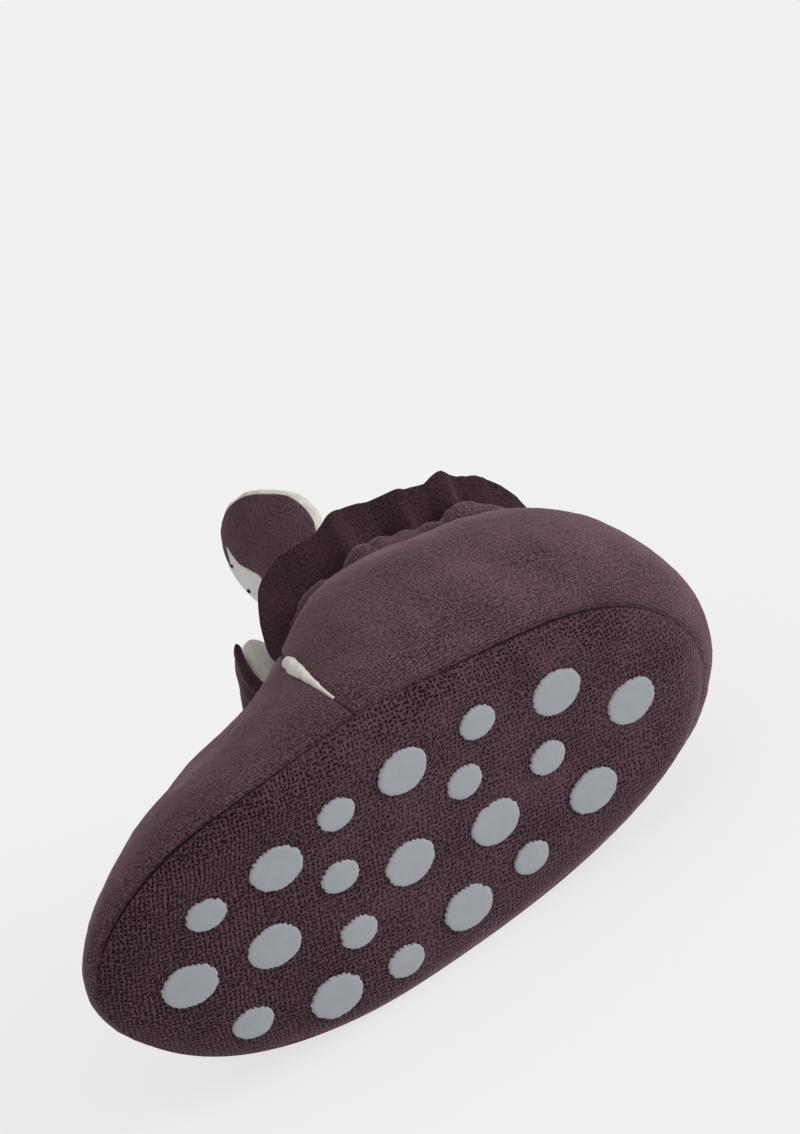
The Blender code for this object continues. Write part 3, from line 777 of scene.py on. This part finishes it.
# %% [markdown]
# ## Sole and insole
# The sole is a sheet of the same velour with a little wadding, its edge rolled up to meet the upper. A grid
# of rings does this best: the outline of the last, moved inwards step by step, then shrunk to the middle. The
# insole is made the same way, and a fleece roll covers the seam between it and the lining.

# %% Sole
ROLL_WIDTH, ROLL_POWER = 7.0, 2.2
LIP_WIDTH, LIP_RISE = 8.0, 4.9


def sole_rings(u, insets, shrinks):
    """Level rings inside the outline: at set distances in, then the last of them shrunk to the middle."""
    seam = closed_spline(LAST, u)[..., 0:3]
    along = np.roll(seam, -1, 0) - np.roll(seam, 1, 0)
    along = along / np.linalg.norm(along[:, 0:2], axis=1)[:, None]
    inward = np.stack([along[:, 1], -along[:, 0]], axis=1)
    inward = inward * np.sign(np.sum((MIDDLE - seam[:, 0:2]) * inward))
    rings = [seam[:, 0:2] + inward * d for d in insets]
    rings += [MIDDLE + (rings[len(insets) - 1] - MIDDLE) * s for s in shrinks]
    return seam[:, None, 2], np.stack(rings, axis=1)


def underside(xy, seam_z, inset):
    """The rocker, rolled up to the seam within ROLL_WIDTH of the edge."""
    base = rocker(xy[..., 0])
    rise = np.clip(1.0 - inset / ROLL_WIDTH, 0.0, 1.0) ** ROLL_POWER
    return base + (seam_z - GAP - SOLE_EDGE - base) * rise


def topside(xy, seam_z, inset):
    """Level with the seam at the edge, then a shallow dish."""
    base = rocker(xy[..., 0]) + SOLE_THICK
    return base + (seam_z - GAP - base) * smoothstep((LIP_WIDTH - inset) / LIP_RISE)


def two_faces(rings, low_z, high_z, full):
    """Grids of the lower and the upper face, drawn together to halfway between them where 'full' is 0."""
    middle_z = (low_z + high_z) / 2
    return [np.concatenate([rings, (middle_z + (z - middle_z) * full)[..., None]], axis=2)
            for z in (low_z, high_z)]


EDGE_ROUND = 1.2
insets = np.concatenate([EDGE_ROUND * (1.0 - np.cos(np.linspace(0.0, 1.4, 8))), [1.18, 1.5, 1.9, 2.4],
                         np.linspace(3.0, 8.0, 11)])
shrinks = np.linspace(0.985, 0.02, 62)
inset_of = np.concatenate([insets, np.full(len(shrinks), 2 * LIP_WIDTH)])
seam_z, rings = sole_rings(np.arange(STATIONS * 22) / 22.0, insets, shrinks)
seam_z = seam_z + 0.9 * GAP
full = quarter_round(inset_of / EDGE_ROUND)
low_z = underside(rings, seam_z, inset_of[None])
high_z = topside(rings, seam_z, inset_of[None])
low, high = two_faces(rings, low_z, high_z, full)
low[..., 2] += (0.3 * noise(low, 9.0, 11) + 0.06 * noise(low, 2.5, 12)) * full
low[..., 2] += SEAM_DEPTH * np.exp(-(inset_of / SEAM_WIDTH) ** 2) * full
sole = plate("sole_velour_sheet", press(low), press(high), "sole")
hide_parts("sole")

# %% Insole and the roll over the inner seam
PAD_INSET, PAD_ROUND, PAD_THICK, PAD_CLEAR = 2.7, 0.9, 2.1, 0.4
insets = np.concatenate([[PAD_INSET, 2.75, 2.9, 3.2], np.linspace(3.7, 8.0, 7)])
shrinks = np.linspace(0.98, 0.02, 46)
inset_of = np.concatenate([insets, np.full(len(shrinks), 2 * LIP_WIDTH)])
seam_z, rings = sole_rings(np.arange(STATIONS * 12) / 12.0, insets, shrinks)
full = quarter_round((inset_of - PAD_INSET) / PAD_ROUND)
bottom_z = topside(rings, seam_z, inset_of[None]) + PAD_CLEAR
low, high = two_faces(rings, bottom_z, bottom_z + PAD_THICK, full)
high[..., 2] += fleece_nap(high) * full
insole = plate("insole_fleece_pad", press(low), press(high), "fleece")
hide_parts("insole")
INNER_ROLL = 1.7
path = seam_path(16, 2.8, 2.0)
tube("lining_seam_roll", path, np.full(len(path), INNER_ROLL), "fleece", sides=16,
     nap=fleece_nap)

# %% [markdown]
# ## Grip dots
# The dots are printed on in silicone, which sinks a little into the knit: each is a low dome, and where its
# edge crosses the rows of the knit it breaks into small teeth, one for each row.

# %% Silicone dots
GRIPS = [
    ("large", 26.4, 10.2), ("large", *HEEL_DOT), ("large", 57.0, 14.3), ("large", 25.8, -12.3),
    ("large", 44.5, -6.1), ("large", 61.2, -3.0), ("large", 83.0, 10.7), ("large", 54.2, -18.4),
    ("large", 87.9, -3.5), ("large", 102.9, -3.2), ("large", 81.2, -19.4),
    ("small", 41.6, 14.2), ("small", 31.8, -0.7), ("small", 47.3, 5.0), ("small", 70.4, 14.3),
    ("small", 40.4, -17.0), ("small", 73.5, 2.6), ("small", 96.4, 8.8), ("small", 73.8, -9.7),
    ("small", 67.9, -20.6), ("small", 95.7, -16.1),
]
DOT_RISE = 0.6
DOT_EDGE = 0.55
DOT_SUNK = 0.1
ROW_PITCH = VELOURS["sole"][2]
ROW_LEAN = math.radians(VELOURS["sole"][4] - 90.0)


def dot(number, size, x, y):
    """A low dome: rings of a narrowed circle, rounded down at the edge, which is toothed by the knit rows."""
    turn = np.arange(176) * math.tau / 176
    radius = DOT_RADIUS[size]
    edge = grip_edge(x, y, radius, turn)
    wavy = 0.12 * noise(np.stack([edge[:, 0], edge[:, 1], 0 * turn + number], axis=-1), 1.6, 21)
    rows = (edge[:, 0] * math.cos(ROW_LEAN) + edge[:, 1] * math.sin(ROW_LEAN)) / ROW_PITCH
    bite = (0.5 + 0.5 * np.cos(rows * math.tau)) ** 2 * np.abs(np.sin(turn)) ** 0.7
    tooth = np.stack([rows, 0 * turn, np.sin(turn) * 3 + number], axis=-1)
    bite = bite * (0.24 + 0.14 * noise(tooth, 1.0, 22))
    bite += 0.5 * np.clip(noise(np.column_stack([edge, 0 * turn + number]), 0.44, 23) - 0.05, 0.0, 1.0)
    inset = radius * (1.0 - np.concatenate([1.0 - 0.11 * (1.0 - np.cos(np.linspace(0, 1.45, 5))),
                                            np.linspace(0.80, 0.05, 4)]))
    ray = edge - np.array([x, y])
    scale = 1.0 - inset / radius
    reach = scale[None] * (1.0 + wavy[:, None] / radius) - bite[:, None] / radius * scale[None] ** 22
    xy = np.array([x, y]) + ray[:, None] * reach[..., None]
    full = quarter_round(inset / DOT_EDGE)
    base = rocker(xy[..., 0])
    dome = full * (0.82 + 0.18 * (1.0 - scale ** 2)) * DOT_RISE
    low = np.concatenate([xy, (base - dome)[..., None]], axis=2)
    high = np.concatenate([xy, (base + DOT_SUNK * full)[..., None]], axis=2)
    made = plate("dot_%02d" % number, low, high, "silicone")
    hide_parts("grip_%02d_%s" % (number, size))


for number, (size, x, y) in enumerate(GRIPS, start=1):
    dot(number, size, x, y)

# %% [markdown]
# ## Ankle cuff
# An elastic gathers the top of the quarter, and above it stands a frilled cuff: velour outside, fleece
# inside. It starts behind the left slit, runs round the heel, and its right end crosses the front of the
# ankle as a flap. Its line is a table, one row per fold, and its gathers are irregular waves, deepest near
# the elastic.

# %% Cuff
# columns: place on the ring; foot, out of the ring and height; bend, the same; top x, y, z; thickness
CUFF = np.array([
    (4.2, 3.8, 42.8, 4.0, 46, 51.2, 17.2, 50.2, 2.0),
    (4.0, 3.0, 41.8, 4.4, 49, 48.8, 19.2, 55.6, 2.4),
    (3.5, 0.9, 41.8, 3.6, 50, 43.0, 21.0, 58.0, 3.0),
    (2.95, -0.9, 37.0, 2.6, 48, 36.0, 22.0, 57.0, 3.0),
    (2.35, -0.9, 36.5, 2.0, 48, 28.0, 22.6, 57.4, 3.0),
    (1.7, -0.9, 36.0, 1.5, 47, 16.0, 22.2, 52.8, 3.0),
    (1.0, -0.9, 36.5, 1.5, 47, 8.0, 20.0, 52.8, 3.0),
    (0.5, -0.9, 36.5, 1.5, 46, 0.0, 11.5, 50.2, 3.0),
    (0.0, -0.9, 36.5, 1.5, 46, -3.0, 0.0, 49.4, 3.0),
    (-0.5, -0.9, 36.5, 1.5, 46, 0.0, -11.5, 50.2, 3.0),
    (-1.0, -0.9, 36.5, 1.5, 47, 8.0, -20.0, 52.4, 3.0),
    (-1.7, -0.9, 36.0, 1.5, 47, 16.5, -22.2, 51.0, 3.0),
    (-2.35, -0.9, 36.5, 2.0, 48, 27.5, -22.6, 55.0, 3.0),
    (-2.95, -0.9, 37.0, 2.6, 48, 36.5, -22.0, 53.6, 3.0),
    (-3.55, 0.9, 41.8, 3.6, 50, 45.5, -20.5, 56.0, 3.0),
    (-4.3, 4.0, 42.4, 5.0, 49, 53.0, -15.0, 56.0, 3.2),
    (-6.2, 3.4, 43.4, 4.5, 50, 58.4, -3.0, 56.6, 3.6),
    (-9.0, 0.7, 43.4, 3.0, 50, 55.8, 11.0, 57.4, 4.4),
])
ANKLE = np.array([32.0, 0.0, 46.0])
# Big folds, listed one by one: row of the table, height on the band, how wide in rows, how tall, how far out
# in mm
FOLDS = [
    (2.45, 0.35, 0.34, 0.30, -1.6),
    (3.15, 0.62, 0.30, 0.24, -3.2),
    (3.75, 0.50, 0.26, 0.50, 1.9),
    (4.35, 0.64, 0.26, 0.22, -2.4),
    (4.75, 0.55, 0.22, 0.50, 1.5),
    (5.05, 0.66, 0.22, 0.24, -2.6),
    (5.55, 0.45, 0.24, 0.50, 1.7),
    (6.0, 0.60, 0.24, 0.40, -2.2),
    (6.9, 0.50, 0.40, 0.50, 0.8),
    (8.2, 0.55, 0.35, 0.50, -1.2),
    (9.6, 0.45, 0.35, 0.50, 1.0),
    (10.8, 0.60, 0.35, 0.40, -1.4),
    (12.1, 0.50, 0.35, 0.50, 0.9),
    (13.4, 0.60, 0.40, 0.40, -1.3),
]
# Waves of the gathers: how deep, how long in mm, and their seed
GATHERS = [(1.7, 3.4, 31), (0.8, 1.9, 32)]
GATHER_MIDDLE = 0.8
GATHER_HEIGHT, GATHER_TALL, GATHER_REST = 0.35, 0.35, 0.2
FRILL = (0.5, 6.5, 33)


def ring_frame(at):
    """Point of the ring and the level direction out of it, towards the seam."""
    c = closed_spline(LAST, at)
    ring = c[..., 9:12]
    out = c[..., 0:2] - ring[..., 0:2]
    return ring, out / np.linalg.norm(out, axis=-1, keepdims=True)


def cuff_surface(s, band):
    """Outer face of the cuff: row s of the table, and from the elastic (0) to the frill (1), plus gathers.

    A gather is noise along the band, pushed out level; it is deepest a third of the way up."""
    c = open_spline(CUFF, s)
    ring, out = ring_frame(c[:, 0])
    foot = np.column_stack([ring[:, 0:2] + out * c[:, 1:2], c[:, 2]])
    bend = np.column_stack([ring[:, 0:2] + out * c[:, 3:4], c[:, 4]])
    rise = np.column_stack([ring[:, 0:2] + out * c[:, 1:2], 0.6 * c[:, 2] + 0.4 * c[:, 4]])
    top = c[:, 5:8]
    b = band[None, :, None]
    grid = bezier([foot[:, None], rise[:, None], bend[:, None], top[:, None]], b)
    walked = travelled(top, 0)
    gathers = sum(deep * np.abs(noise_along(walked, long, seed)) for deep, long, seed in GATHERS)
    gathers = gathers - GATHER_MIDDLE
    frill = FRILL[0] * noise_along(walked, *FRILL[1:])
    depth = np.exp(-((band - GATHER_HEIGHT) / GATHER_TALL) ** 2) + GATHER_REST
    push = gathers[:, None] * depth[None] + frill[:, None] * band[None] ** 2
    for row, height, width, tall, lift in FOLDS:
        push += lift * np.exp(-((s[:, None] - row) / width) ** 2 - ((band[None] - height) / tall) ** 2)
    settle = (smoothstep(band / 0.12) * 0.8 + 0.2)[None] * smoothstep((s - 1.3) / 1.4)[:, None]
    side = np.concatenate([out, 0 * out[:, :1]], axis=1)[:, None]
    return grid + side * (push * settle)[..., None], c[:, 8], side


def cuff_nap(points):
    """A thinner velour than the upper's, so flatter."""
    return 0.6 * velour_nap(points)


# %% The cuff's two layers
# Thickness of the velour, how much thicker it is at the flap's end, and how deep the fleece is tucked into it
CUFF_SKIN, HEM_MORE, CUFF_TUCK = 1.2, 0.4, 0.2
# Row where the fleece starts, how far it stands above the velour, and how far below it at the thin left end
FLEECE_START, FLEECE_STAND, FLEECE_DROP = 1.0, 1.2, 2.0
# Swelling of the fleece at the flap's end
PUFF = 6.6
THIN_EDGE = 0.5
s = spread(460, crowd=0.0035) * (len(CUFF) - 1)
grid, full_thick, level = cuff_surface(s, spread(44, crowd=0.04))
hem = CUFF_SKIN * (1.0 + HEM_MORE * smoothstep((s - 15.6) / 1.2))[:, None]
cuff = cloth("cuff_velour", grid, hem, "cuff", ANKLE, nap=cuff_nap, out=level)
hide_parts("cuff")
t = FLEECE_START + spread(360, crowd=0.0035) * (len(CUFF) - 1 - FLEECE_START)
band = spread(36, crowd=0.04)
grid, full_thick, level = cuff_surface(t, band)
puff = PUFF * smoothstep((t - 15.4) / 1.4)
grow = smoothstep((t - FLEECE_START) / 2.2)
grid = grid - level * (CUFF_SKIN - CUFF_TUCK + 0.16 * puff)[:, None, None]
stand = FLEECE_STAND - FLEECE_DROP * smoothstep((3.6 - t) / 0.9) + 0.2 * puff
grid[..., 2] += stand[:, None] * band[None] ** 2
facing = THIN_EDGE + (full_thick - CUFF_SKIN + CUFF_TUCK - THIN_EDGE) * grow + 0.7 * puff
cloth("cuff_fleece_facing", grid, facing[:, None], "fleece", ANKLE, soft=0.8, nap=fleece_nap,
      out=level)


# %% Gathers under the cuff
def ankle_roll(name, first, last, count, reach, rise, fat, lump, finish, sides):
    """A lumpy roll that follows the ring, 'reach' mm outside it and 'rise' mm above."""
    at = np.linspace(first, last, count)
    ring, out = ring_frame(at)
    ends = smoothstep((at - last) / 0.5) * smoothstep((first - at) / 0.5)
    walked = travelled(ring, 0)
    lumps = lump * (noise_along(walked, 4.2, 41) + 0.5 * noise_along(walked, 2.0, 42))
    beside = smoothstep(np.abs(at) / 2.0)
    out_by = reach[0] + reach[1] * beside + 0.5 * lumps
    up_by = rise[0] + rise[1] * beside + 0.6 * lumps
    path = np.column_stack([ring[:, 0:2] + out * out_by[:, None], ring[:, 2] + up_by])
    return tube(name, press(path), (0.25 + (fat + lumps) * ends).clip(0.2), finish,
                sides=sides, nap=velour_nap)


ankle_roll("ankle_gather", 3.6, -4.1, 520, (3.7, 0.7), (3.2, 2.6), 1.9, 0.75, "upper", 26)
ankle_roll("ankle_casing", 3.9, -4.3, 360, (1.0, 0.6), (0.6, 1.2), 1.9, 0.2, "cuff", 18)

# %% [markdown]
# ## Tongue
# The tongue is a curled flap that stands in the throat and leans to the left. It is two layers, velour in
# front and fleece behind, and the fleece shows all round as a pale rim. On its front is a small cream patch
# with two ears and a few dark stitches, like the face of a sleeping animal.

# %% Tongue
# columns: height; front x, y; half width; depth of the curl; twist; left and right edge in degrees of curl
TONGUE = np.array([
    (36, 56.2, 0.0, 10.0, 4.4, 0, 88, -88),
    (42, 56.2, 0.4, 10.2, 4.6, 0, 88, -88),
    (50, 52.8, 3.0, 10.6, 6.2, 6, 88, -88),
    (58, 47.6, 6.0, 11.2, 8.6, 14, 88, -88),
    (66, 43.3, 9.2, 11.9, 11.0, 21, 90, -86),
    (73.2, 41.4, 11.7, 12.7, 12.2, 26, 90, -72),
    (78.4, 40.9, 13.0, 12.9, 12.2, 30, 77, -52),
    (82.6, 40.4, 13.7, 12.9, 12.2, 32, 54, -31),
    (85.3, 39.8, 14.1, 12.9, 12.2, 33, 27, -16),
    (86.5, 39.4, 14.1, 12.9, 12.2, 33, 9, -6),
])
TONGUE_SKIN, TONGUE_TUCK = 1.3, 0.45
TONGUE_THICK = 3.2


def tongue_surface(table, row, curl):
    """Outer face: at a row of the table, an arc of an ellipse turned by the twist; curl is its angle."""
    t = open_spline(table, row)
    back = -t[..., 4] * (1.0 - np.cos(curl))
    across = t[..., 3] * np.sin(curl)
    twist = np.radians(t[..., 5])
    x = t[..., 1] + back * np.cos(twist) - across * np.sin(twist)
    y = t[..., 2] + back * np.sin(twist) + across * np.cos(twist)
    return np.stack([x, y, t[..., 0]], axis=-1)


def tongue_grid(table, rows, columns):
    """The whole flap, between the two edges that the table gives."""
    row = spread(rows, crowd=0.02) * (len(table) - 1)
    edges = np.radians(open_spline(table, row)[:, 6:8])
    t = spread(columns, crowd=0.03)
    curl = edges[:, 1:2] + t[None] * (edges[:, 0:1] - edges[:, 1:2])
    return tongue_surface(table, np.broadcast_to(row[:, None], curl.shape), curl)


BEHIND = np.array([15.0, 4.0, 60.0])
# The velour is cut smaller than the fleece: its heights, and where its left and right edges stop
front = TONGUE.copy()
front[:, 0] = (36, 42, 50, 58, 66, 73.2, 77.9, 81.8, 84.3, 85.2)
front[:, 6] = (88, 88, 88, 86, 80, 64, 47, 31, 11, -3)
front[:, 7] = (-88, -88, -88, -88, -84, -68, -48, -28, -14, -8)
tongue = cloth("tongue_velour", tongue_grid(front, 90, 60), TONGUE_SKIN, "tongue", BEHIND,
               nap=velour_nap)
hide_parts("tongue")
wider = TONGUE.copy()
wider[:, 6] = (88, 88, 88, 93, 92, 76, 57, 38, 17, 4)
grid = tongue_grid(wider, 120, 80)
grid = grid - outward(grid, False, BEHIND) * (TONGUE_SKIN - TONGUE_TUCK)
cloth("tongue_fleece_back", grid, TONGUE_THICK - TONGUE_SKIN + TONGUE_TUCK, "fleece", BEHIND,
      nap=fleece_nap)

# %% Patch and its stitches
# columns: height on the tongue, half width of the patch in degrees of the curl
PATCH_EDGE = np.array([(52, 0), (54, 22), (58, 30), (64, 31), (70, 28), (73, 23), (75, 20.5), (77, 20),
                       (79, 22), (81, 25)])
PATCH_LEAN = -5.0
PATCH_FOOT, PATCH_TOP, PATCH_EAR = 52.2, 80.0, 1.2
PATCH_LIFT, PATCH_THICK, PATCH_MARGIN = 0.3, 0.6, 4.0


def row_of(height):
    """Row of the tongue's table at a height."""
    return np.interp(height, TONGUE[:, 0], np.arange(len(TONGUE)))


def on_tongue(height, curl_degrees, lift):
    """Points 'lift' mm in front of the tongue; the curl is counted from the middle of the patch."""
    row = row_of(height)
    twist = open_spline(TONGUE, row)[..., 5]
    curl = np.radians(curl_degrees - twist)
    base = tongue_surface(TONGUE, row, curl)
    up = tongue_surface(TONGUE, row + 0.05, curl) - tongue_surface(TONGUE, row - 0.05, curl)
    side = tongue_surface(TONGUE, row, curl + 0.05) - tongue_surface(TONGUE, row, curl - 0.05)
    return base + unit(np.cross(side, up)) * lift


t = spread(60, crowd=0.02)
across = spread(40, crowd=0.04) * 2.0 - 1.0
height = PATCH_FOOT + t[:, None] * (PATCH_TOP - PATCH_FOOT + PATCH_EAR * across[None] ** 2)
half = np.interp(height, PATCH_EDGE[:, 0], PATCH_EDGE[:, 1]).clip(1.0)
left = half + PATCH_LEAN
# Its right edge stops a few degrees inside the velour's own
stop = np.interp(height, front[:, 0], front[:, 7] + front[:, 5]) + PATCH_MARGIN
right_edge = np.maximum(PATCH_LEAN - half, stop)
grid = on_tongue(height, right_edge + (left - right_edge) * (across[None] + 1.0) / 2.0, PATCH_LIFT)
cloth("tongue_patch", grid, PATCH_THICK, "patch", BEHIND, soft=0.8)


def stitch_line(name, heights, curls, radius):
    """A short thick line of dark thread lying on the patch."""
    t = np.linspace(0.0, 1.0, 30)
    places = np.linspace(0.0, 1.0, len(heights))
    path = on_tongue(np.interp(t, places, heights), np.interp(t, places, curls), 0.4)
    fat = radius * np.sqrt(np.clip(1.0 - (2.0 * t - 1.0) ** 4, 0.03, 1.0))
    return tube(name, path, fat, "thread", sides=12, up=(1.0, 0.2, 0.0))


stitch_line("patch_nose", [68.6, 69.8], [-5, -5], 0.5)
stitch_line("patch_eye_left", [79.6, 78.9], [8, 8], 0.26)
stitch_line("patch_eye_right", [75.7, 74.9], [-7, -7], 0.34)

# %% [markdown]
# ## Camera, floor and light
# The photographer looked at the sole of the shoe from a little above, with a long lens, and tipped the camera
# over. The scene keeps that view: a camera 950 mm from the shoe, a plain pale floor, an even white dome, a
# large soft lamp to the right and two weaker ones, above and in front.

# %% Camera
VIEW_RIGHT = np.array([-0.79829, -0.26986, -0.53844])
VIEW_UP = np.array([-0.53320, 0.73237, 0.42347])
VIEW_BACK = np.array([0.28006, 0.62514, -0.72854])
AIM = np.array([61.0, -2.2, 0.8])
DISTANCE = 950.0
FRAME_HEIGHT = 1134
SCALE = 6.04
AIM_OFFSET = (7.1, 288.8)
focal = SCALE * DISTANCE
lens = bpy.data.cameras.new("long_lens")
lens.sensor_fit = "AUTO"
lens.sensor_width = 36.0
lens.lens = focal / FRAME_HEIGHT * lens.sensor_width
lens.clip_start = 0.05
lens.clip_end = 50.0
camera = bpy.data.objects.new("photographer", lens)
bpy.context.scene.collection.objects.link(camera)
bpy.context.scene.camera = camera
back = unit(VIEW_BACK - VIEW_UP * AIM_OFFSET[1] / focal + VIEW_RIGHT * AIM_OFFSET[0] / focal)
right = unit(np.cross(VIEW_UP, back))
up = np.cross(back, right)
turn = Matrix([list(TURN @ right), list(TURN @ up), list(TURN @ back)]).transposed().to_4x4()
camera.matrix_world = Matrix.Translation(Vector(lay(AIM + VIEW_BACK * DISTANCE))) @ turn
print("camera at", [round(x, 3) for x in camera.location], "lens", round(lens.lens, 1))

# %% Floor and light
FLOOR_HALF = 6.0
BACKDROP = 0.877
DOME = 0.28
FLOOR_GLOW = 0.695
FLOOR_BOUNCE = 0.45
# name, strength, width in degrees, and where it comes from: to the right, up and towards the camera
LAMPS = [
    ("soft_key", 1.95, 55.0, (0.84, 0.46, 0.30)),
    ("top_fill", 0.5, 90.0, (-0.10, 0.93, 0.35)),
    ("front_fill", 0.6, 80.0, (-0.40, -0.45, 0.80)),
]
floor_mesh = bpy.data.meshes.new("floor")
corners = [(-FLOOR_HALF, -FLOOR_HALF, 0.0), (FLOOR_HALF, -FLOOR_HALF, 0.0),
           (FLOOR_HALF, FLOOR_HALF, 0.0), (-FLOOR_HALF, FLOOR_HALF, 0.0)]
floor_mesh.from_pydata(corners, [], [(0, 1, 2, 3)])
floor = bpy.data.objects.new("floor", floor_mesh)
bpy.context.scene.collection.objects.link(floor)
pale = bpy.data.materials.new("pale_floor")
pale.use_nodes = True
tree = pale.node_tree
seen = tree.nodes.new("ShaderNodeLightPath").outputs["Is Camera Ray"]
paint = tree.nodes["Principled BSDF"]
paint.inputs["Base Color"].default_value = (0.30, 0.30, 0.30, 1)
paint.inputs["Roughness"].default_value = 1.0
paint.inputs["Specular IOR Level"].default_value = 0.0
paint.inputs["Emission Color"].default_value = (1.0, 1.0, 1.0, 1)
glow = calc(tree, "MULTIPLY_ADD", seen, FLOOR_GLOW - FLOOR_BOUNCE, FLOOR_BOUNCE)
tree.links.new(glow, paint.inputs["Emission Strength"])
floor_mesh.materials.append(pale)

world = bpy.data.worlds.new("white_dome")
bpy.context.scene.world = world
world.use_nodes = True
tree = world.node_tree
sky = tree.nodes["Background"]
sky.inputs["Color"].default_value = (1.0, 1.0, 1.0, 1)
seen = tree.nodes.new("ShaderNodeLightPath").outputs["Is Camera Ray"]
tree.links.new(calc(tree, "MULTIPLY_ADD", seen, BACKDROP - DOME, DOME), sky.inputs["Strength"])

for name, strength, width, (rightward, upward, nearer) in LAMPS:
    lamp_data = bpy.data.lights.new(name, "SUN")
    lamp_data.energy = strength
    lamp_data.angle = math.radians(width)
    lamp = bpy.data.objects.new(name, lamp_data)
    bpy.context.scene.collection.objects.link(lamp)
    lamp_from = Vector(TURN @ (rightward * right + upward * up + nearer * back))
    lamp.rotation_mode = "QUATERNION"
    lamp.rotation_quaternion = lamp_from.to_track_quat("Z", "Y")
bpy.context.scene.view_settings.view_transform = "Standard"
bpy.context.scene.view_settings.look = "None"
